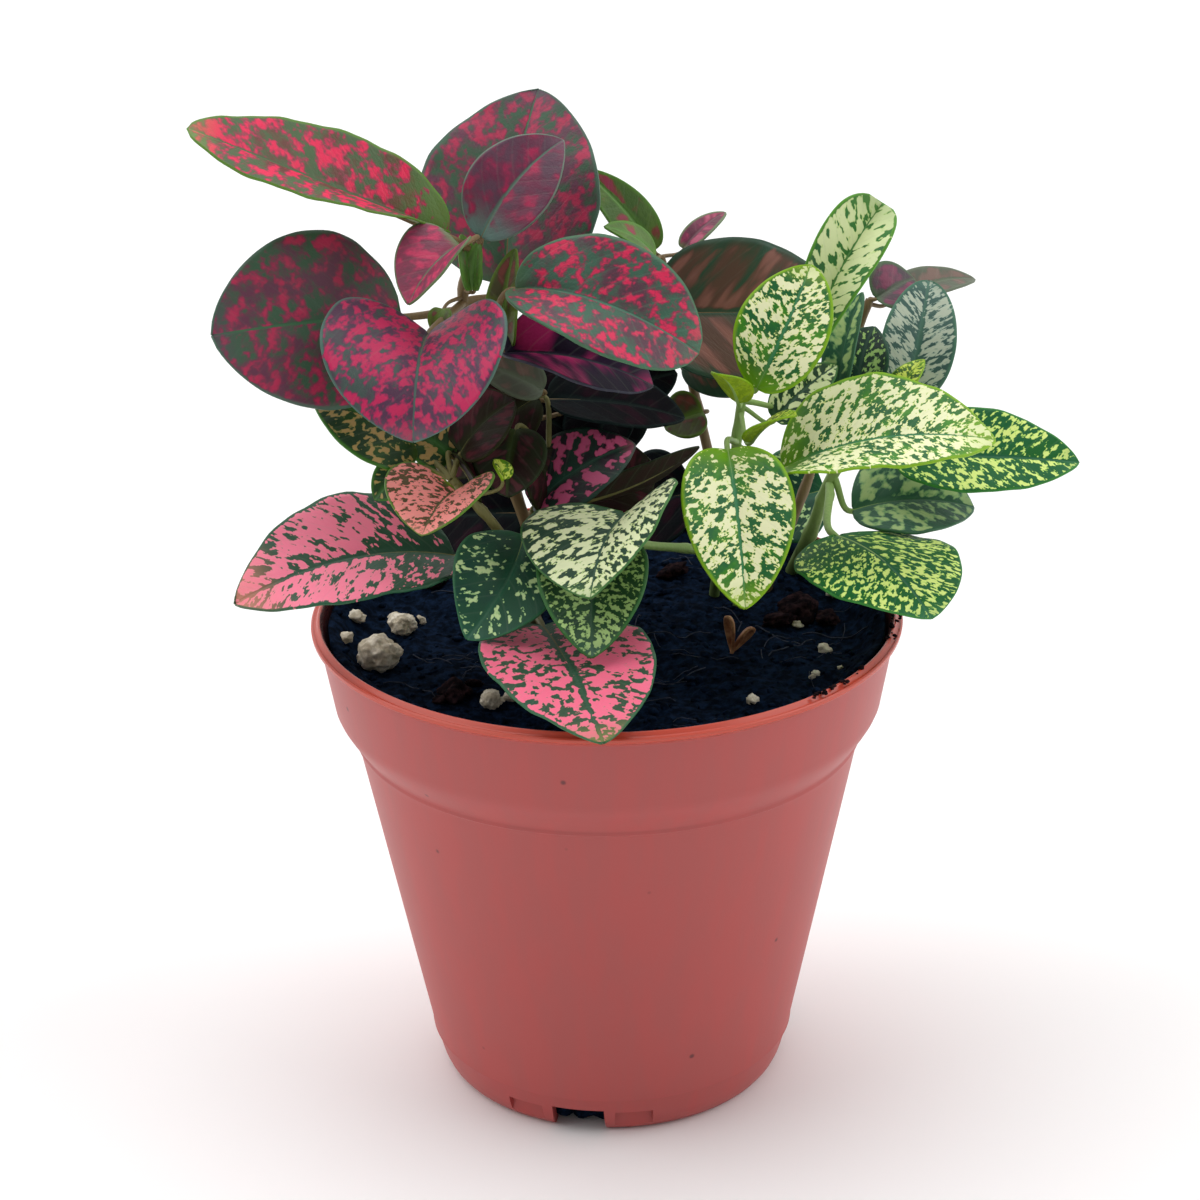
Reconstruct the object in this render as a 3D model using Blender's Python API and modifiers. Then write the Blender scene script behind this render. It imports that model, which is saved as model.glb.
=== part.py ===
"""Potted polka dot plant: red, pink and white-spotted plants sharing a 10 cm nursery pot.

Metres, +Z up, front toward -Y. The origin is the centre of the pot's underside, on the
surface that the pot stands on. Tables of stems and leaves are in millimetres.
"""

import math
from typing import NamedTuple

import bmesh
import bpy
from mathutils import Matrix, Vector

MM = 0.001

# --- Pot -------------------------------------------------------------------------------
POT_STEPS = 48
WALL = 0.9
# Radius and height of each ring of the half section, in mm.
POT_LIP_OUTSIDE = ((50.0, 85.0), (50.0, 83.4), (48.8, 83.0))
POT_COLLAR = ((46.7, 71.0), (45.8, 68.6), (44.5, 66.6), (43.5, 65.0))
POT_COLLAR_LINE = ((43.4, 64.2), (43.0, 63.6))
POT_BODY_FOOT = ((31.8, 7.6), (31.4, 7.1))
POT_FOOT = ((30.4, 3.0), (29.3, 1.0), (28.0, 0.0))
POT_UNDERSIDE = ((26.4, 0.0), (25.6, 2.4), (22.8, 2.4), (22.0, 0.0), (0.0, 0.0))
POT_FLOOR = ((0.0, 1.2), (21.4, 1.2), (22.2, 3.6), (28.6, 3.6))
POT_INSIDE = ((31.8 - WALL, 7.6), (43.0 - WALL, 63.6), (43.8, 66.8), (45.8, 71.0))
POT_LIP_INSIDE = ((47.8, 83.0), (48.5, 85.0))
SLOT_COUNT = 3
SLOT_ANGLE = math.radians(258.5)
SLOT_WIDTH = 9.0 * MM
SLOT_HEIGHT = 5.0 * MM
SLOT_LENGTH = 8.0 * MM
SLOT_RADIUS = 28.2 * MM
RECESS_WIDTH = 6.5 * MM
RECESS_HEIGHT = 4.6 * MM
RECESS_LENGTH = 4.0 * MM
RECESS_RADIUS = 31.6 * MM
RECESS_OFFSET = math.radians(18.0)

# --- Potting mix and what lies on it -----------------------------------------------------
SOIL_LEVEL = 79.0 * MM
SOIL_RINGS = (8.0, 16.0, 24.0, 32.0, 40.0)
# The mix stops short of the pot's inside all round.
SOIL_SIDE = ((46.8, 79.0), (45.4, 71.0), (43.4, 66.8), (41.7, 63.6), (30.5, 7.6), (28.0, 4.0), (0.0, 4.0))
SOIL_EDGE = 0.1 * MM
GAP = 0.3 * MM
LUMP_BUMP = 0.12

# --- Stems and leaves ----------------------------------------------------------------------
STEM_STEPS = 6
STEM_TAPER = 0.7
LEAF_THICKNESS = 0.5 * MM
STALK_HALF_WIDTH = 0.8 * MM
TIP_HALF_WIDTH = 0.15 * MM
STALK_ROWS = 3
BLADE_ROWS = 7
HALF_COLUMNS = 2


class Stem(NamedTuple):
    """One shoot: its radius and the points that it passes, in mm, from the mix to its top."""

    name: str
    radius: float
    points: tuple


class Leaf(NamedTuple):
    """One leaf: where it grows, where its blade starts and ends, and how the blade is bent.

    root, base and tip are in mm. width is the flat blade's, in mm. roll turns the blade
    about the line from base to tip, and fold lifts its halves, in degrees. open is the share
    of the fold left at the tip. arch and sway bow the midrib up and sideways, as shares of
    the blade's length. belly and taper set the outline toward base and tip.
    """

    name: str
    root: tuple
    base: tuple
    tip: tuple
    width: float
    roll: float = 0.0
    arch: float = 0.10
    fold: float = 15.0
    open: float = 0.5
    sway: float = 0.0
    belly: float = 0.55
    taper: float = 0.75


class Lump(NamedTuple):
    """One loose bit on the mix: its place, size across and squash, in mm."""

    name: str
    place: tuple
    size: float
    squash: float


RED_STEMS = (
    Stem("red_stem_left", 1.3, ((-9, 15, 79), (-15, 13, 100), (-21, 10, 122), (-23, 8, 138), (-20, 8, 148))),
    Stem("red_stem_middle", 1.2, ((-4, 11, 79), (-10, 9, 98), (-16, 6, 116), (-19, 3, 131))),
    Stem("red_stem_back", 1.2, ((24, 25, 79), (19, 24, 100), (15, 24, 118), (10, 25, 139))),
    Stem("red_stem_right", 1.1, ((28, 20, 79), (36, 24, 100), (42, 27, 118), (46, 28, 130))),
)
PINK_STEMS = (
    Stem("pink_stem_left", 1.2, ((-12, 0, 79), (-13, -6, 92), (-18, -10, 104), (-25, -11, 113))),
    Stem("pink_stem_middle", 1.1, ((-6, 2, 79), (-8, 0, 90), (-9, -0.5, 100), (-9, 0.5, 112))),
)
WHITE_STEMS = (
    Stem("white_stem_middle", 1.3, ((23, 14, 79), (24, 9, 94), (22, 4, 110), (23, 1, 124))),
    Stem("white_stem_right", 1.5, ((33, 28, 79), (36, 16, 93), (38, 10, 103), (43, 9, 114))),
    Stem("white_stem_left", 1.1, ((19, 19, 79), (19, 13, 88), (15, 6, 93), (7, 1, 96), (-1, -6, 101))),
)

RED_LEAVES = (
    Leaf("red_leaf_long", (-23, 8, 146), (-25, 3, 150), (-64.5, -8, 171), 19.5, roll=-26, arch=0.005,
         fold=44, open=0.0, taper=0.62),
    Leaf("red_leaf_back_top", (-18.5, 12, 137.5), (-16, 14, 138), (-10, 26, 168), 33, fold=8),
    Leaf("red_leaf_front_top", (-18, 7, 148), (-19.5, 3, 149.5), (-6, 10, 163.5), 13.8, roll=40,
         fold=10, sway=-0.04, belly=0.65, taper=0.8),
    Leaf("red_leaf_bud", (-21.5, 4.5, 148.5), (-22.5, -8, 151.5), (-30.5, -15, 144), 14.2, fold=32,
         belly=0.35),
    Leaf("red_leaf_round_left", (-25, 7, 136), (-33, 2, 136.5), (-62, -14, 139), 28.5, roll=-62,
         fold=6, belly=0.6, taper=0.65),
    Leaf("red_leaf_saddle", (-22, 5, 136), (-28, -8, 137), (-30, -26, 125), 32, fold=35, arch=0.2),
    Leaf("red_leaf_right_front", (-17, 2, 131), (-14, -4, 143), (15, -16, 135.5), 20.5, roll=38,
         arch=0.16, fold=35, open=0.1, belly=0.6, taper=0.55),
    Leaf("red_leaf_magenta", (-17, 1, 129), (-16, -1, 131), (8, -4, 126), 18, roll=25, fold=40, open=0.1),
    Leaf("red_leaf_inner", (-15, 5, 124), (-9.5, 6, 120.5), (13.5, 8, 116), 15, roll=20, arch=0.05),
    Leaf("red_leaf_back_wide", (11, 24, 126), (9.5, 21.5, 130), (40, 28, 126.5), 24.5, roll=60,
         belly=0.35, taper=0.5),
    Leaf("red_leaf_arching", (9, 26, 139), (9, 29, 139), (-3, 27, 154), 7, roll=-70, sway=0.01),
    Leaf("red_leaf_crown_left", (9, 24, 139), (9, 22, 140), (0.5, 18, 146.5), 5.5, roll=-30),
    Leaf("red_leaf_crown_right", (11, 26, 139), (14, 28, 139.5), (21.5, 34, 144), 3.4, roll=20),
    Leaf("red_leaf_mauve", (47, 26, 130), (47, 27, 130.5), (54, 33, 132), 9, roll=40),
    Leaf("red_leaf_pointed", (47, 29, 129), (49, 30, 128.5), (65.5, 40, 129.5), 7, roll=20),
    Leaf("red_leaf_shaded", (14.5, 23, 107), (1.5, 16, 117), (-1.5, 8, 107), 13, roll=10),
    Leaf("red_leaf_olive", (15, 22.5, 111), (17, 18, 113.5), (10.5, 17, 111), 8.5, roll=-40),
    Leaf("red_leaf_rear_left", (-11, 12, 104), (-14, 19, 95), (-30, 25, 91.5), 17, roll=-55),
    Leaf("red_leaf_rear_right", (20, 26.5, 98), (15.5, 30, 94), (3, 33, 89.5), 17, roll=-55),
)
PINK_LEAVES = (
    Leaf("pink_leaf_left", (-16, -8, 97), (-25, -7, 98), (-60, -22, 96), 25, roll=-20, arch=0.12),
    Leaf("pink_leaf_front", (-8, -4, 87), (-10.5, -16, 89), (-1, -54.5, 86), 27, fold=9, arch=0.05),
    Leaf("pink_leaf_salmon", (-24, -13, 112), (-24, -14, 112), (-29, -28, 110), 19, fold=35),
    Leaf("pink_leaf_olive", (-26, -10, 114), (-30.5, -6, 117), (-47, -9, 126.5), 19, roll=-40),
    Leaf("pink_leaf_shaded", (-10, -2, 102), (-12, -3.5, 105), (5, -1.5, 115), 15, roll=30),
    Leaf("pink_leaf_brown", (-24, -10, 115), (-23.5, -8, 116.5), (-14.5, -6, 124.5), 16, roll=20),
    Leaf("pink_leaf_mauve", (-10, -1, 113), (-14.5, -4.5, 119), (-16, -10.5, 109.5), 12),
    Leaf("pink_leaf_under", (-7, 1, 101), (-3.5, 4, 103), (16, 9, 110.5), 8, roll=-50, arch=-0.06),
    Leaf("pink_leaf_rear", (-7, 3, 96), (-6, 14, 99.5), (8.5, 17, 104), 17, roll=50),
)
WHITE_LEAVES = (
    Leaf("white_leaf_saddle", (-2, -8, 101), (3.5, -13.5, 107.5), (-2.5, -34.5, 101.5), 28, roll=20,
         fold=24, belly=0.4),
    Leaf("white_leaf_lower", (-2, -8, 100), (-2, -13, 101), (-2.5, -36, 92), 18.5, fold=30),
    Leaf("white_leaf_dark", (-3, -6, 100), (-13.5, -11, 103), (-22.5, -28, 92), 17.8, roll=-17,
         sway=-0.08),
    Leaf("white_leaf_hanging", (22, 1, 113), (20, -10, 117), (22, -29, 97), 18, fold=20),
    Leaf("white_leaf_bud_left", (22, 0, 121), (22, -4, 123), (18, -10, 130), 6),
    Leaf("white_leaf_bud_right", (24, 0, 119), (24, -6, 117), (31, -11, 123), 7),
    Leaf("white_leaf_upper", (24, 0, 125), (25, -3, 125), (34, 3, 144), 15, roll=35, sway=0.04,
         belly=0.65, taper=0.7),
    Leaf("white_leaf_tall", (24, 3, 121), (32, 7, 119.5), (46.5, 14, 151), 13.2, roll=45, fold=36,
         open=1.0, belly=1.4, taper=0.4, sway=-0.04),
    Leaf("white_leaf_wide", (24, 0, 112), (29, -6, 112), (63, -13, 119), 26, roll=17, fold=26, open=0.2),
    Leaf("white_leaf_far_right", (45, 9, 111), (49, 8, 108.5), (79.5, 4, 108.5), 17.8, roll=30,
         arch=0.03),
    Leaf("white_leaf_grey", (45, 10, 115), (52, 18, 115.5), (56, 27, 133.5), 12, roll=20, belly=0.45,
         taper=0.55),
    Leaf("white_leaf_spotted", (42, 11, 115), (43, 15, 118), (46, 19, 128), 11),
    Leaf("white_leaf_shoot", (43, 9, 116), (49, 9, 118), (54, 13, 124), 5),
    Leaf("white_leaf_low_right", (40.5, 9, 104), (42, 7, 99.5), (62.5, 7, 99.5), 21, roll=20),
    Leaf("white_leaf_low_saddle", (37, 5, 103), (38.5, -5.5, 100), (52, -26, 93.5), 30, roll=-4, fold=-5),
    Leaf("white_leaf_rear", (34.5, 26.5, 84), (39, 32, 93.5), (28, 34, 88.5), 17, roll=-55),
)

PERLITE = (
    Lump("perlite_large", (-39.5, -7.5), 7.2, 0.8),
    Lump("perlite_left", (-35.0, 3.8), 4.8, 0.8),
    Lump("perlite_front", (-20.5, -29.5), 4.2, 0.7),
)
BARK_CHIP = Lump("bark_chip", (-25.0, -22.5), 6.0, 0.5)
SEED_HUSK = Leaf("seed_husk", (22, -5, 81), (22, -6, 85), (22, -11, 81), 7, fold=55, open=0.7)

PLANTS = (
    ("red", RED_STEMS, RED_LEAVES),
    ("pink", PINK_STEMS, PINK_LEAVES),
    ("white", WHITE_STEMS, WHITE_LEAVES),
)


# --- Scene, collections, materials ---------------------------------------------------------
def clear_scene():
    """Remove every object, mesh, curve and collection that the file opened with."""
    for thing in list(bpy.data.objects):
        bpy.data.objects.remove(thing, do_unlink=True)
    for group in list(bpy.data.collections):
        bpy.data.collections.remove(group)


def new_collection(name, hidden=False):
    """Link a new collection to the scene."""
    group = bpy.data.collections.new(name)
    bpy.context.scene.collection.children.link(group)
    group.hide_render = hidden
    return group


def new_material(name, colour, roughness, metallic=0.0):
    """A Principled material with one colour."""
    material = bpy.data.materials.new(name)
    material.use_nodes = True
    surface = material.node_tree.nodes["Principled BSDF"]
    surface.inputs["Base Color"].default_value = (*colour, 1.0)
    surface.inputs["Roughness"].default_value = roughness
    surface.inputs["Metallic"].default_value = metallic
    material.diffuse_color = (*colour, 1.0)
    return material


def add_mesh(name, graph, group, material, smooth=True):
    """Turn a bmesh into a named object in its collection."""
    mesh = bpy.data.meshes.new(name)
    graph.to_mesh(mesh)
    graph.free()
    mesh.materials.append(material)
    thing = bpy.data.objects.new(name, mesh)
    group.objects.link(thing)
    if smooth:
        mesh.shade_smooth()
    return thing


# --- Pot -------------------------------------------------------------------------------
def add_turned(name, rings, group, material):
    """Turn a half section about Z with a Screw modifier."""
    graph = bmesh.new()
    corners = [graph.verts.new((radius * MM, 0.0, height * MM)) for radius, height in rings]
    for first, second in zip(corners, corners[1:]):
        graph.edges.new((first, second))
    thing = add_mesh(name, graph, group, material)
    screw = thing.modifiers.new("Turn", "SCREW")
    screw.steps = POT_STEPS
    screw.render_steps = POT_STEPS
    screw.use_merge_vertices = True
    screw.merge_threshold = 0.0001
    screw.use_normal_calculate = False
    return thing


def add_cutter(name, size, angle, radius, group):
    """A box that cuts the pot's foot at one angle round it."""
    graph = bmesh.new()
    turn = Matrix.Rotation(angle, 4, "Z")
    place = Matrix.Translation((radius, 0.0, 0.0))
    bmesh.ops.create_cube(graph, size=1.0, matrix=turn @ place @ Matrix.Diagonal((*size, 1.0)))
    mesh = bpy.data.meshes.new(name)
    graph.to_mesh(mesh)
    graph.free()
    thing = bpy.data.objects.new(name, mesh)
    thing.display_type = "WIRE"
    thing.hide_render = True
    group.objects.link(thing)
    return thing


def cut(thing, cutter):
    """Subtract one closed cutter."""
    boolean = thing.modifiers.new(cutter.name, "BOOLEAN")
    boolean.operation = "DIFFERENCE"
    boolean.solver = "EXACT"
    boolean.object = cutter


def add_pot(group, cutters, material):
    """The pot: a turned shell with drain slots and shallow recesses round its foot."""
    inside = POT_FLOOR + POT_INSIDE + POT_LIP_INSIDE
    outside = POT_LIP_OUTSIDE + POT_COLLAR + POT_COLLAR_LINE + POT_BODY_FOOT + POT_FOOT
    pot = add_turned("nursery_pot", inside + outside + POT_UNDERSIDE, group, material)
    slot_size = (SLOT_LENGTH, SLOT_WIDTH, 2.0 * SLOT_HEIGHT)
    recess_size = (RECESS_LENGTH, RECESS_WIDTH, 2.0 * RECESS_HEIGHT)
    for index in range(SLOT_COUNT):
        middle = SLOT_ANGLE + index * math.tau / SLOT_COUNT
        cut(pot, add_cutter(f"slot_{index}", slot_size, middle, SLOT_RADIUS, cutters))
        for side in (-1, 1):
            angle = middle + side * RECESS_OFFSET
            cut(pot, add_cutter(f"recess_{index}_{side + 1}", recess_size, angle, RECESS_RADIUS, cutters))
    return pot


# --- Potting mix ---------------------------------------------------------------------------
def soil_height(x, y):
    """Height of the loose surface of the mix at one place, in metres."""
    u = x / MM
    v = y / MM
    wide = 0.8 * math.sin(0.11 * u + 1.0) * math.cos(0.13 * v - 0.5)
    fine = 0.4 * math.sin(0.31 * u - 0.8 + 0.23 * v)
    return SOIL_LEVEL + (wide + fine) * MM


def add_soil(group, material):
    """The mix: a turned fill whose top vertices follow the loose surface."""
    level = SOIL_LEVEL / MM
    top = ((0.0, level),) + tuple((ring, level) for ring in SOIL_RINGS)
    draft = add_turned("soil_draft", top + SOIL_SIDE, group, material)
    graph = evaluated_graph(draft)
    bpy.data.objects.remove(draft)
    for vert in graph.verts:
        if vert.co.z > SOIL_LEVEL - SOIL_EDGE:
            vert.co.z = soil_height(vert.co.x, vert.co.y)
    return add_mesh("potting_mix", graph, group, material)


def evaluated_graph(thing):
    """The mesh that an object's modifiers make, as a bmesh."""
    mesh = bpy.data.meshes.new_from_object(thing.evaluated_get(bpy.context.evaluated_depsgraph_get()))
    graph = bmesh.new()
    graph.from_mesh(mesh)
    bpy.data.meshes.remove(mesh)
    return graph


# --- Stems -----------------------------------------------------------------------------
def smooth_path(points, steps):
    """Points at even steps on a Catmull-Rom curve through a few given points."""
    knots = [Vector(point) * MM for point in points]
    knots = [knots[0] * 2 - knots[1]] + knots + [knots[-1] * 2 - knots[-2]]
    spans = len(knots) - 3
    path = []
    for step in range(steps + 1):
        place = step / steps * spans
        span = min(int(place), spans - 1)
        t = place - span
        a, b, c, d = knots[span:span + 4]
        path.append(0.5 * (2 * b + (c - a) * t + (2 * a - 5 * b + 4 * c - d) * t * t
                           + (3 * b - a - 3 * c + d) * t ** 3))
    return path


def add_stem(stem, group, material):
    """A shoot: a tapering round tube that stands on the mix."""
    path = smooth_path(stem.points, STEM_STEPS)
    heading = (path[1] - path[0]).normalized()
    lean = math.hypot(heading.x, heading.y)
    path[0].z = soil_height(path[0].x, path[0].y) + 2 * GAP + stem.radius * MM * lean
    curve = bpy.data.curves.new(stem.name, "CURVE")
    curve.dimensions = "3D"
    curve.bevel_depth = stem.radius * MM
    curve.bevel_resolution = 2
    curve.use_fill_caps = True
    spline = curve.splines.new("POLY")
    spline.points.add(len(path) - 1)
    for index, place in enumerate(path):
        spline.points[index].co = (*place, 1.0)
        spline.points[index].radius = 1.0 - (1.0 - STEM_TAPER) * index / STEM_STEPS
    curve.materials.append(material)
    thing = bpy.data.objects.new(stem.name, curve)
    group.objects.link(thing)
    return thing


# --- Leaves ----------------------------------------------------------------------------
def leaf_frame(leaf):
    """Base, chord, length, upper-face normal and side of a leaf."""
    base = Vector(leaf.base) * MM
    chord = Vector(leaf.tip) * MM - base
    along = chord.normalized()
    up = Vector((0.0, 0.0, 1.0))
    face = (up - along * up.dot(along)).normalized()
    face = Matrix.Rotation(math.radians(leaf.roll), 3, along) @ face
    return base, chord, face, along.cross(face)


def blade_line(leaf, u):
    """Midrib point, its direction and the upper-face normal at a share u of the blade."""
    base, chord, face, side = leaf_frame(leaf)
    bow = (face * leaf.arch + side * leaf.sway) * chord.length
    place = base + chord * u + bow * 4.0 * u * (1.0 - u)
    along = (chord + bow * 4.0 * (1.0 - 2.0 * u)).normalized()
    return place, along, (face - along * face.dot(along)).normalized()


def stalk_line(leaf, t):
    """Point and direction at a share t of the stalk, which meets the blade along its midrib."""
    start = Vector(leaf.root) * MM
    end, along, normal = blade_line(leaf, 0.0)
    reach = (end - start).length
    first = start + (end - start) * 0.4
    second = end - along * reach * 0.35
    s = 1.0 - t
    place = start * s ** 3 + first * 3 * s * s * t + second * 3 * s * t * t + end * t ** 3
    heading = (first - start) * s * s + (second - first) * 2 * s * t + (end - second) * t * t
    heading.normalize()
    return place, heading, (normal - heading * normal.dot(heading)).normalized()


def half_width(leaf, u):
    """Half of the flat blade's width at a share u of its length."""
    peak = leaf.belly / (leaf.belly + leaf.taper)
    full = peak ** leaf.belly * (1.0 - peak) ** leaf.taper
    outline = u ** leaf.belly * (1.0 - u) ** leaf.taper / full
    return leaf.width * MM / 2.0 * outline + STALK_HALF_WIDTH * (1.0 - u) + TIP_HALF_WIDTH * u


def leaf_point(leaf, row, across):
    """A point of the leaf's middle surface.

    row counts the stalk's rows, then the blade's; across runs from -1 to 1 over the blade.
    """
    if row < STALK_ROWS:
        place, along, normal = stalk_line(leaf, row / STALK_ROWS)
        reach = STALK_HALF_WIDTH
        u = 0.0
    else:
        u = (1.0 - math.cos(math.pi * (row - STALK_ROWS) / BLADE_ROWS)) / 2.0
        place, along, normal = blade_line(leaf, u)
        reach = half_width(leaf, u)
    fold = math.radians(leaf.fold * (1.0 - (1.0 - leaf.open) * u))
    side = along.cross(normal)
    return place + (side * math.cos(fold) * across + normal * math.sin(fold) * abs(across)) * reach


def add_leaf(leaf, group, material):
    """One leaf with its stalk: a grid bent to shape and given its thickness."""
    rows = STALK_ROWS + BLADE_ROWS
    graph = bmesh.new()
    bmesh.ops.create_grid(graph, x_segments=rows, y_segments=2 * HALF_COLUMNS, size=0.5)
    for vert in graph.verts:
        row = round((vert.co.x + 0.5) * rows)
        across = round((vert.co.y + 0.5) * 2 * HALF_COLUMNS) / HALF_COLUMNS - 1.0
        vert.co = leaf_point(leaf, row, across)
    thing = add_mesh(leaf.name, graph, group, material)
    shell = thing.modifiers.new("Thickness", "SOLIDIFY")
    shell.thickness = LEAF_THICKNESS
    shell.offset = 0.0
    return thing


# --- Loose bits ----------------------------------------------------------------------------
def add_lump(lump, group, material):
    """A rounded lump lying on the mix."""
    x, y = (value * MM for value in lump.place)
    radius = lump.size * MM / 2.0
    rise = radius * lump.squash * (1.0 + LUMP_BUMP)
    graph = bmesh.new()
    bmesh.ops.create_icosphere(graph, subdivisions=2, radius=radius)
    for vert in graph.verts:
        vert.co *= 1.0 + LUMP_BUMP * math.sin((9.0 * vert.co.x + 4.0 * vert.co.y) / radius)
        vert.co.z *= lump.squash
        vert.co += Vector((x, y, soil_height(x, y) + rise + 2 * GAP))
    return add_mesh(lump.name, graph, group, material)


def build():
    """Model the pot, what it holds and the three plants."""
    clear_scene()
    group = new_collection("potted_polka_dot_plant")
    cutters = new_collection("cutters", hidden=True)
    add_pot(group, cutters, new_material("terracotta_plastic", (0.42, 0.10, 0.09), 0.45))
    add_soil(group, new_material("potting_mix", (0.012, 0.011, 0.014), 0.95))
    perlite = new_material("perlite", (0.55, 0.52, 0.45), 0.9)
    for lump in PERLITE:
        add_lump(lump, group, perlite)
    add_lump(BARK_CHIP, group, new_material("bark", (0.10, 0.045, 0.02), 0.9))
    add_leaf(SEED_HUSK, group, new_material("dry_husk", (0.40, 0.20, 0.10), 0.6))
    stalk = new_material("stem_green", (0.28, 0.36, 0.10), 0.5)
    faces = {
        "red": new_material("red_leaf", (0.45, 0.03, 0.09), 0.5),
        "pink": new_material("pink_leaf", (0.75, 0.18, 0.28), 0.5),
        "white": new_material("white_leaf", (0.55, 0.65, 0.30), 0.45),
    }
    for plant, stems, leaves in PLANTS:
        for stem in stems:
            add_stem(stem, group, stalk)
        for leaf in leaves:
            add_leaf(leaf, group, faces[plant])


build()
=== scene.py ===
"""Looks for a potted polka dot plant: red, pink and cream spotted plants in a nursery pot.

Lengths in the tables are millimetres, and every mesh is made in metres in the row frame:
+Z up, front toward -Y, origin under the middle of the pot. Each leaf is one bent blade with
its own round stalk, and its marks are worked out on the flat blade, in millimetres.
"""

from __future__ import annotations

import logging
import math
import random
from dataclasses import dataclass
from enum import Enum

import bmesh
import bpy
from mathutils import Matrix, Vector, noise


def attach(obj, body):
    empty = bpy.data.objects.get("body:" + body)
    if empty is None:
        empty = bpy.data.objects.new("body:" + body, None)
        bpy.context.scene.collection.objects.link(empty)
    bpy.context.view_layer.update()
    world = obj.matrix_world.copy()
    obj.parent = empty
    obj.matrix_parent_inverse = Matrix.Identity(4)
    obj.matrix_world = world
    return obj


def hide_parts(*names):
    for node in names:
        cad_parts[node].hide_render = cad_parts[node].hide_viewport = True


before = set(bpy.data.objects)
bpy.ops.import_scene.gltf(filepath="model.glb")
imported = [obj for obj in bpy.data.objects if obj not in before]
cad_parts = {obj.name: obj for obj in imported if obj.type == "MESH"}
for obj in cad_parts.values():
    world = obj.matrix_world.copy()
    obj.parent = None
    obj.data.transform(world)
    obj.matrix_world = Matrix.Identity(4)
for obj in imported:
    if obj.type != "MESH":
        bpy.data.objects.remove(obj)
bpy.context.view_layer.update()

LOG = logging.getLogger("potted_plant")

# Corners of a turned body that lie within WELD metres of each other are joined. The mix's
# level is in mm over the surface that the pot stands on.
MM = 0.001
WELD = 0.00001
MIX_LEVEL = 79.0

# Side veins stand 3.4 mm apart and leave the midrib at about 50 degrees. Lean is how far they
# run toward the tip for each mm outward, and bow adds to that with the square of the distance.
# Along and out are the two parts of their direction.
VEIN_GAP = 3.4
VEIN_LEAN = 0.75
VEIN_BOW = 0.03
VEIN_ALONG = 0.62
VEIN_OUT = 0.8

MATH = "ShaderNodeMath"
MIX = "ShaderNodeMix"
RANGE = "ShaderNodeMapRange"
NOISE = "ShaderNodeTexNoise"
VORONOI = "ShaderNodeTexVoronoi"
ATTRIBUTE = "ShaderNodeAttribute"
STRETCH = "ShaderNodeMapping"
VECTOR = "ShaderNodeVectorMath"
SPLIT = "ShaderNodeSeparateXYZ"
JOIN = "ShaderNodeCombineXYZ"
BUMP = "ShaderNodeBump"
PLACE = "ShaderNodeTexCoord"
SURFACE = "ShaderNodeBsdfPrincipled"
OUTPUT = "ShaderNodeOutputMaterial"
SMOOTH = {"interpolation_type": "SMOOTHSTEP"}


# --- Small tools -----------------------------------------------------------------------------
def linear(code: str) -> tuple[float, float, float, float]:
    """Turn an sRGB hex colour into linear light.

    Args:
        code: Six hex digits, such as "b55a57".

    Returns:
        Linear red, green, blue and a full alpha.
    """
    parts = [int(code[i:i + 2], 16) / 255.0 for i in (0, 2, 4)]
    red, green, blue = (p / 12.92 if p <= 0.04045 else ((p + 0.055) / 1.055) ** 2.4 for p in parts)
    return red, green, blue, 1.0


def add_node(tree: bpy.types.NodeTree, kind: str, links: dict | None = None, **settings) -> bpy.types.Node:
    """Add one node with its settings, and set or link its inputs.

    Args:
        tree: The material's node tree.
        kind: The node's type.
        links: Input name or index, and its value or the socket or node that feeds it. A node
            feeds it from its first output.
        **settings: The node's own properties.

    Returns:
        The new node.
    """
    node = tree.nodes.new(kind)
    for name, value in settings.items():
        setattr(node, name, value)
    for key, value in (links or {}).items():
        if isinstance(value, bpy.types.Node):
            value = value.outputs[0]
        if isinstance(value, bpy.types.NodeSocket):
            tree.links.new(value, node.inputs[key])
        else:
            node.inputs[key].default_value = value
    return node


def new_material(name: str) -> tuple[bpy.types.Material, bpy.types.NodeTree]:
    """Start a material with an empty node tree.

    Args:
        name: The material's name.

    Returns:
        The material and its tree.
    """
    material = bpy.data.materials.new(name)
    material.use_nodes = True
    material.node_tree.nodes.clear()
    return material, material.node_tree


def lay_coats(tree: bpy.types.NodeTree, colour: object, coats: tuple) -> bpy.types.NodeSocket:
    """Lay coats of colour over a ground, one after another.

    Args:
        tree: The material's tree.
        colour: The ground, as a linear colour or a socket.
        coats: For each coat, what says where it lies, its sRGB hex and its strength there.

    Returns:
        The colour with all its coats.
    """
    for where, tint, strength in coats:
        share = add_node(tree, MATH, {0: where, 1: strength}, operation="MULTIPLY")
        colour = add_node(tree, MIX, {0: share, 6: colour, 7: linear(tint)}, data_type="RGBA").outputs[2]
    return colour


def link_object(name: str, data: bpy.types.ID) -> bpy.types.Object:
    """Make an object and put it in the scene.

    Args:
        name: The object's name.
        data: Its mesh, curve, camera or light.

    Returns:
        The new object.
    """
    thing = bpy.data.objects.new(name, data)
    bpy.context.scene.collection.objects.link(thing)
    return thing


def add_object(name: str, data: bpy.types.ID, slot: str, *nodes: str) -> bpy.types.Object:
    """Add a piece, let it ride on the pot's body and hide the CAD nodes that it stands for.

    Args:
        name: The piece's name.
        data: Its mesh or curve.
        slot: The record's material slot. It is not used.
        *nodes: CAD nodes that it replaces.

    Returns:
        The new object.
    """
    thing = link_object(name, data)
    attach(thing, "root")
    if nodes:
        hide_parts(*nodes)
    return thing


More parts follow.
